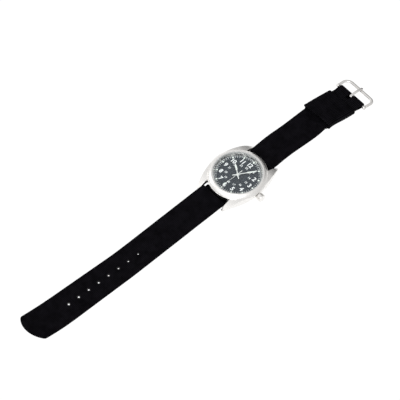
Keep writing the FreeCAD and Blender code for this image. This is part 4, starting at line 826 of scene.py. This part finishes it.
def numeral(text, height, x, y, z, thick, bold):
    """A number as a thin solid, centred on a place: points and faces in millimetres."""
    curve = bpy.data.curves.new("numeral", "FONT")
    curve.body = text
    curve.align_x, curve.align_y = "CENTER", "CENTER"
    curve.size = 10.0
    curve.offset = bold
    curve.extrude = 0.5
    curve.resolution_u = 6
    curve.space_character = 0.92
    source = bpy.data.objects.new("numeral", curve)
    bpy.context.scene.collection.objects.link(source)
    bpy.context.view_layer.update()
    graph = bpy.context.evaluated_depsgraph_get()
    mesh = bpy.data.meshes.new_from_object(source.evaluated_get(graph))
    co = np.array([v.co for v in mesh.vertices], float)
    low, high = co.min(0), co.max(0)
    scale = height / (high[1] - low[1])
    centre = (low + high) / 2
    co = (co - centre) * np.array([scale, scale, thick / (high[2] - low[2])]) + np.array([x, y, z])
    faces = [tuple(p.vertices) for p in mesh.polygons]
    bpy.data.objects.remove(source)
    bpy.data.curves.remove(curve)
    bpy.data.meshes.remove(mesh)
    return co.tolist(), faces


def plate(outline, low, high):
    """A flat solid from an outline that runs anticlockwise."""
    n = len(outline)
    points = [(x, y, low) for x, y in outline] + [(x, y, high) for x, y in outline]
    faces = [tuple(reversed(range(n))), tuple(range(n, 2 * n))]
    faces += [(k, (k + 1) % n, n + (k + 1) % n, n + k) for k in range(n)]
    return points, faces


def turned_plate(outline, degrees, low, high):
    """A plate drawn at 12 o'clock and carried clockwise around the dial."""
    a = math.radians(degrees)
    return plate([(x * math.cos(a) + y * math.sin(a), -x * math.sin(a) + y * math.cos(a))
                  for x, y in outline], low, high)


def dome(x, y, radius, low, rise):
    """A low domed dot."""
    points, faces, around = [(x, y, low + rise)], [], 24
    rings = [(0.5, 0.9), (0.82, 0.55), (1.0, 0.0)]
    for share, height in rings:
        points += [(x + radius * share * math.cos(TAU * k / around),
                    y + radius * share * math.sin(TAU * k / around), low + rise * height)
                   for k in range(around)]
    for k in range(around):
        n = (k + 1) % around
        faces.append((0, 1 + k, 1 + n))
        for r in range(len(rings) - 1):
            a, b = 1 + r * around, 1 + (r + 1) * around
            faces.append((a + k, b + k, b + n, a + n))
    faces.append(tuple(1 + (len(rings) - 1) * around + k for k in reversed(range(around))))
    return points, faces


def dial_print():
    """Hour and 24 hour numerals, a minute track inside a thin ring, and a lume mark at each hour."""
    base, ink = DIAL_TOP, DIAL_TOP + 0.02
    middle = (base + ink) / 2
    big, small, track, lume = [], [], [], []
    for hour in range(1, 13):
        angle = hour * 30.0
        x, y = clock(10.75 if hour < 10 else 10.6, angle)
        big.append(numeral(str(hour), 3.0, x, y, middle, 0.02, 0.33))
        x, y = clock(7.55, angle)
        small.append(numeral(str(hour + 12), 1.45, x, y, middle, 0.02, 0.17))
        if hour == 12:
            lume.append(turned_plate([(0, 12.55), (0.95, 14.1), (-0.95, 14.1)], 0, base, ink + 0.06))
        else:
            x, y = clock(13.45, angle)
            lume.append(dome(x, y, 0.62, base, 0.12))
    for minute in range(60):
        if minute % 5:
            track.append(turned_plate([(-0.09, 12.9), (0.09, 12.9), (0.09, 14.15), (-0.09, 14.15)],
                                      minute * 6.0, base, ink))
    ring = [(14.22, base), (14.36, base), (14.36, ink), (14.22, ink)]
    points, around = [], 240
    for k in range(around):
        a = TAU * k / around
        points += [(r * math.cos(a), r * math.sin(a), z) for r, z in ring]
    track.append((points, tube_faces(around, len(ring), closed=True)))
    joined("dial_numerals", big, WHITE_PRINT, "head")
    joined("dial_24_hour_numerals", small, WHITE_PRINT, "head")
    joined("dial_minute_track", track, WHITE_PRINT, "head")
    joined("dial_lume_marks", lume, LUME, "head")


# ---------------------------------------------------------------------------------------------
# Hands
# ---------------------------------------------------------------------------------------------

def hand_blade(stations, low, thick, degrees):
    """A blade with a raised spine: stations are (distance along the hand, half width)."""
    points = []
    a = math.radians(degrees)
    ridge, shoulder = low + thick, low + thick * 0.55
    for along, half in stations:
        for across, z in ((-half, low), (-half, shoulder), (0.0, ridge), (half, shoulder), (half, low)):
            points.append((across * math.cos(a) + along * math.sin(a),
                           -across * math.sin(a) + along * math.cos(a), z))
    return points, tube_faces(len(stations), 5)


def boss(radius, low, high, around=48):
    """A round hub with a softened upper edge."""
    profile = [(radius, low), (radius, high - 0.05), (radius - 0.05, high), (0.0, high)]
    points, faces = [], []
    for r, z in profile[:-1]:
        points += [(r * math.cos(TAU * k / around), r * math.sin(TAU * k / around), z)
                   for k in range(around)]
    points += [(0, 0, high), (0, 0, low)]
    for k in range(around):
        n = (k + 1) % around
        for r in range(2):
            faces.append((r * around + k, r * around + n, (r + 1) * around + n, (r + 1) * around + k))
        faces.append((2 * around + k, 2 * around + n, 3 * around))
        faces.append((n, k, 3 * around + 1))
    return points, faces


HOUR_OUTLINE = [(-3.3, 0.3), (0, 0.32), (3.2, 0.26), (4.2, 0.6), (7.2, 0.5), (8.0, 0.14), (9.0, 0.06)]
MINUTE_OUTLINE = [(-3.4, 0.3), (0, 0.28), (5.6, 0.24), (6.6, 0.52), (10.8, 0.42), (11.6, 0.13),
                  (12.8, 0.05)]
SECOND_OUTLINE = [(-3.7, 0.26), (-1.4, 0.15), (7.9, 0.11), (9.3, 0.13), (10.6, 0.62), (11.6, 0.6),
                  (12.3, 0.16)]


def hands():
    for name, body, node, outline, low, hub, angle in (
            ("hour_hand_blade", "hours", "hour_hand", HOUR_OUTLINE, 6.45, 1.05, HOUR_ANGLE),
            ("minute_hand_blade", "minutes", "minute_hand", MINUTE_OUTLINE, 6.85, 0.85, MINUTE_ANGLE),
            ("second_hand_needle", "seconds", "second_hand", SECOND_OUTLINE, 7.16, 0.5, SECOND_ANGLE)):
        shapes = [hand_blade(outline, low, 0.12, angle), boss(hub, low - 0.08, low + 0.14)]
        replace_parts(joined(name, shapes, MATERIALS["hand_lacquer"], body), node)
    for name, body, level, angle, ((start, wide), (end, narrow)) in (
            ("hour_hand_lume", "hours", 6.57, HOUR_ANGLE, [(4.4, 0.4), (7.1, 0.33)]),
            ("minute_hand_lume", "minutes", 6.97, MINUTE_ANGLE, [(6.8, 0.34), (10.7, 0.27)])):
        outline = [(-wide, start), (wide, start), (narrow, end), (-narrow, end)]
        joined(name, [turned_plate(outline, angle, level - 0.03, level + 0.012)], LUME,
               body)
    dot_x, dot_y = clock(8.35, SECOND_ANGLE)
    paddle = [(9.9, 0.22), (10.6, 0.46), (11.5, 0.46), (12.1, 0.16)]
    shapes = [dome(dot_x, dot_y, 0.42, 7.2, 0.1), hand_blade(paddle, 7.24, 0.06, SECOND_ANGLE)]
    joined("second_hand_lume", shapes, LUME, "seconds")


# ---------------------------------------------------------------------------------------------
# Studio
# ---------------------------------------------------------------------------------------------

def room_light():
    """An even room with one bright side and three dim ones. The camera sees plain white instead."""
    world = bpy.data.worlds.new("studio")
    bpy.context.scene.world = world
    s = Shader("studio", world)
    way = s.add("TexCoord").outputs["Generated"]
    _, _, height = s.parts(way)
    level = s.span(height, 0.0, 0.6, 0.95, 1.0)
    for aim, low, high, amount in (((0.25, -0.68, 0.69), 0.70, 0.98, 0.55),
                                   ((-0.42, 0.38, 0.82), 0.90, 0.98, -0.10),
                                   ((-0.30, 0.90, 0.30), 0.76, 0.98, -0.65),
                                   ((0.62, 0.66, 0.42), 0.70, 0.95, -0.20)):
        lobe = s.add("VectorMath", {0: way, 1: aim}, operation="DOT_PRODUCT").outputs["Value"]
        level = s.math("ADD", level, s.math("MULTIPLY", s.span(lobe, low, high), amount))
    room = s.add("Background", {"Color": (1.0, 1.0, 1.0), "Strength": s.math("MAXIMUM", level, 0.12)})
    backdrop = s.add("Background", {"Color": (1.0, 1.0, 1.0), "Strength": 1.1})
    to_camera = s.add("LightPath").outputs["Is Camera Ray"]
    s.close(s.add("MixShader", {0: to_camera, 1: room, 2: backdrop}), "OutputWorld")


def floor_material():
    """White to the camera, a pale table in reflections, and clear when it is seen from below."""
    s = Shader("floor_white")
    reach = s.add("VectorMath", {0: s.add("TexCoord").outputs["Object"]}, operation="LENGTH").outputs["Value"]
    grain = s.noise(s.place(), 0.01, 3.0, 0.5)
    # Painted light: the table is coloured lighter near the watch and darker further out, a painted pool of
    # light, with a faint grain on top.
    painted_falloff_and_grain = s.math("MULTIPLY", s.span(reach, 0.45, 1.3, 0.95, 0.85), s.span(grain, 0.2, 0.8, 0.97, 1.03))
    table = s.add("BsdfDiffuse", {"Color": s.join(painted_falloff_and_grain, painted_falloff_and_grain, painted_falloff_and_grain)})
    glow = s.add("Emission", {"Color": (1.0, 1.0, 1.0), "Strength": 1.05})
    to_camera = s.add("LightPath").outputs["Is Camera Ray"]
    above = s.add("MixShader", {0: to_camera, 1: table, 2: glow}).outputs[0]
    below = s.add("NewGeometry").outputs["Backfacing"]
    through = s.add("BsdfTransparent", {"Color": (1.0, 1.0, 1.0)})
    return s.close(s.add("MixShader", {0: below, 1: above, 2: through}).outputs[0])


def studio():
    scene = bpy.context.scene
    scene.view_settings.view_transform = "Standard"
    scene.view_settings.look = "None"
    room_light()
    corners = [(FLOOR_HALF * x, FLOOR_HALF * y, FLOOR_Z)
               for x, y in ((-1, -1), (1, -1), (1, 1), (-1, 1))]
    mesh = bpy.data.meshes.new("floor")
    mesh.from_pydata(corners, [], [(0, 1, 2, 3)])
    mesh.materials.append(floor_material())
    floor = bpy.data.objects.new("floor", mesh)
    scene.collection.objects.link(floor)
    for name, place, width, power in (("key", (0.35, -0.60, 0.72), 0.7, 3.0),
                                      ("side", (-0.85, -0.45, 0.45), 0.6, 1.0)):
        lamp = bpy.data.lights.new(name, "AREA")
        lamp.shape = "DISK"
        lamp.size = width
        lamp.energy = power
        obj = bpy.data.objects.new(name, lamp)
        obj.location = place
        obj.rotation_euler = (-Vector(place)).to_track_quat("-Z", "Y").to_euler()
        scene.collection.objects.link(obj)


def camera():
    azimuth, elevation = math.radians(CAMERA_AZIMUTH), math.radians(CAMERA_ELEVATION)
    target = Vector(CAMERA_TARGET) * MM
    back = Vector((math.sin(azimuth) * math.cos(elevation), -math.cos(azimuth) * math.cos(elevation),
                   math.sin(elevation)))
    data = bpy.data.cameras.new("camera")
    data.sensor_width = 36.0
    data.lens = CAMERA_LENS
    data.clip_start, data.clip_end = 0.1, 100.0
    obj = bpy.data.objects.new("camera", data)
    obj.location = target + back * CAMERA_DISTANCE
    obj.rotation_euler = (-back).to_track_quat("-Z", "Y").to_euler()
    bpy.context.scene.collection.objects.link(obj)
    bpy.context.scene.camera = obj


def dress_cad():
    """Gives every CAD node the material of its slot."""
    slots = {row["node"]: row["material_slot"] for row in frame["record"]["subparts"]}
    for name, obj in frame["nodes"].items():
        obj.data.materials.clear()
        obj.data.materials.append(MATERIALS[slots[name]])


dress_cad()
buckle_side()
tip_side()
bar_springs()
keeper()
buckle()
tongue()
stitches()
dial_print()
hands()
studio()
camera()
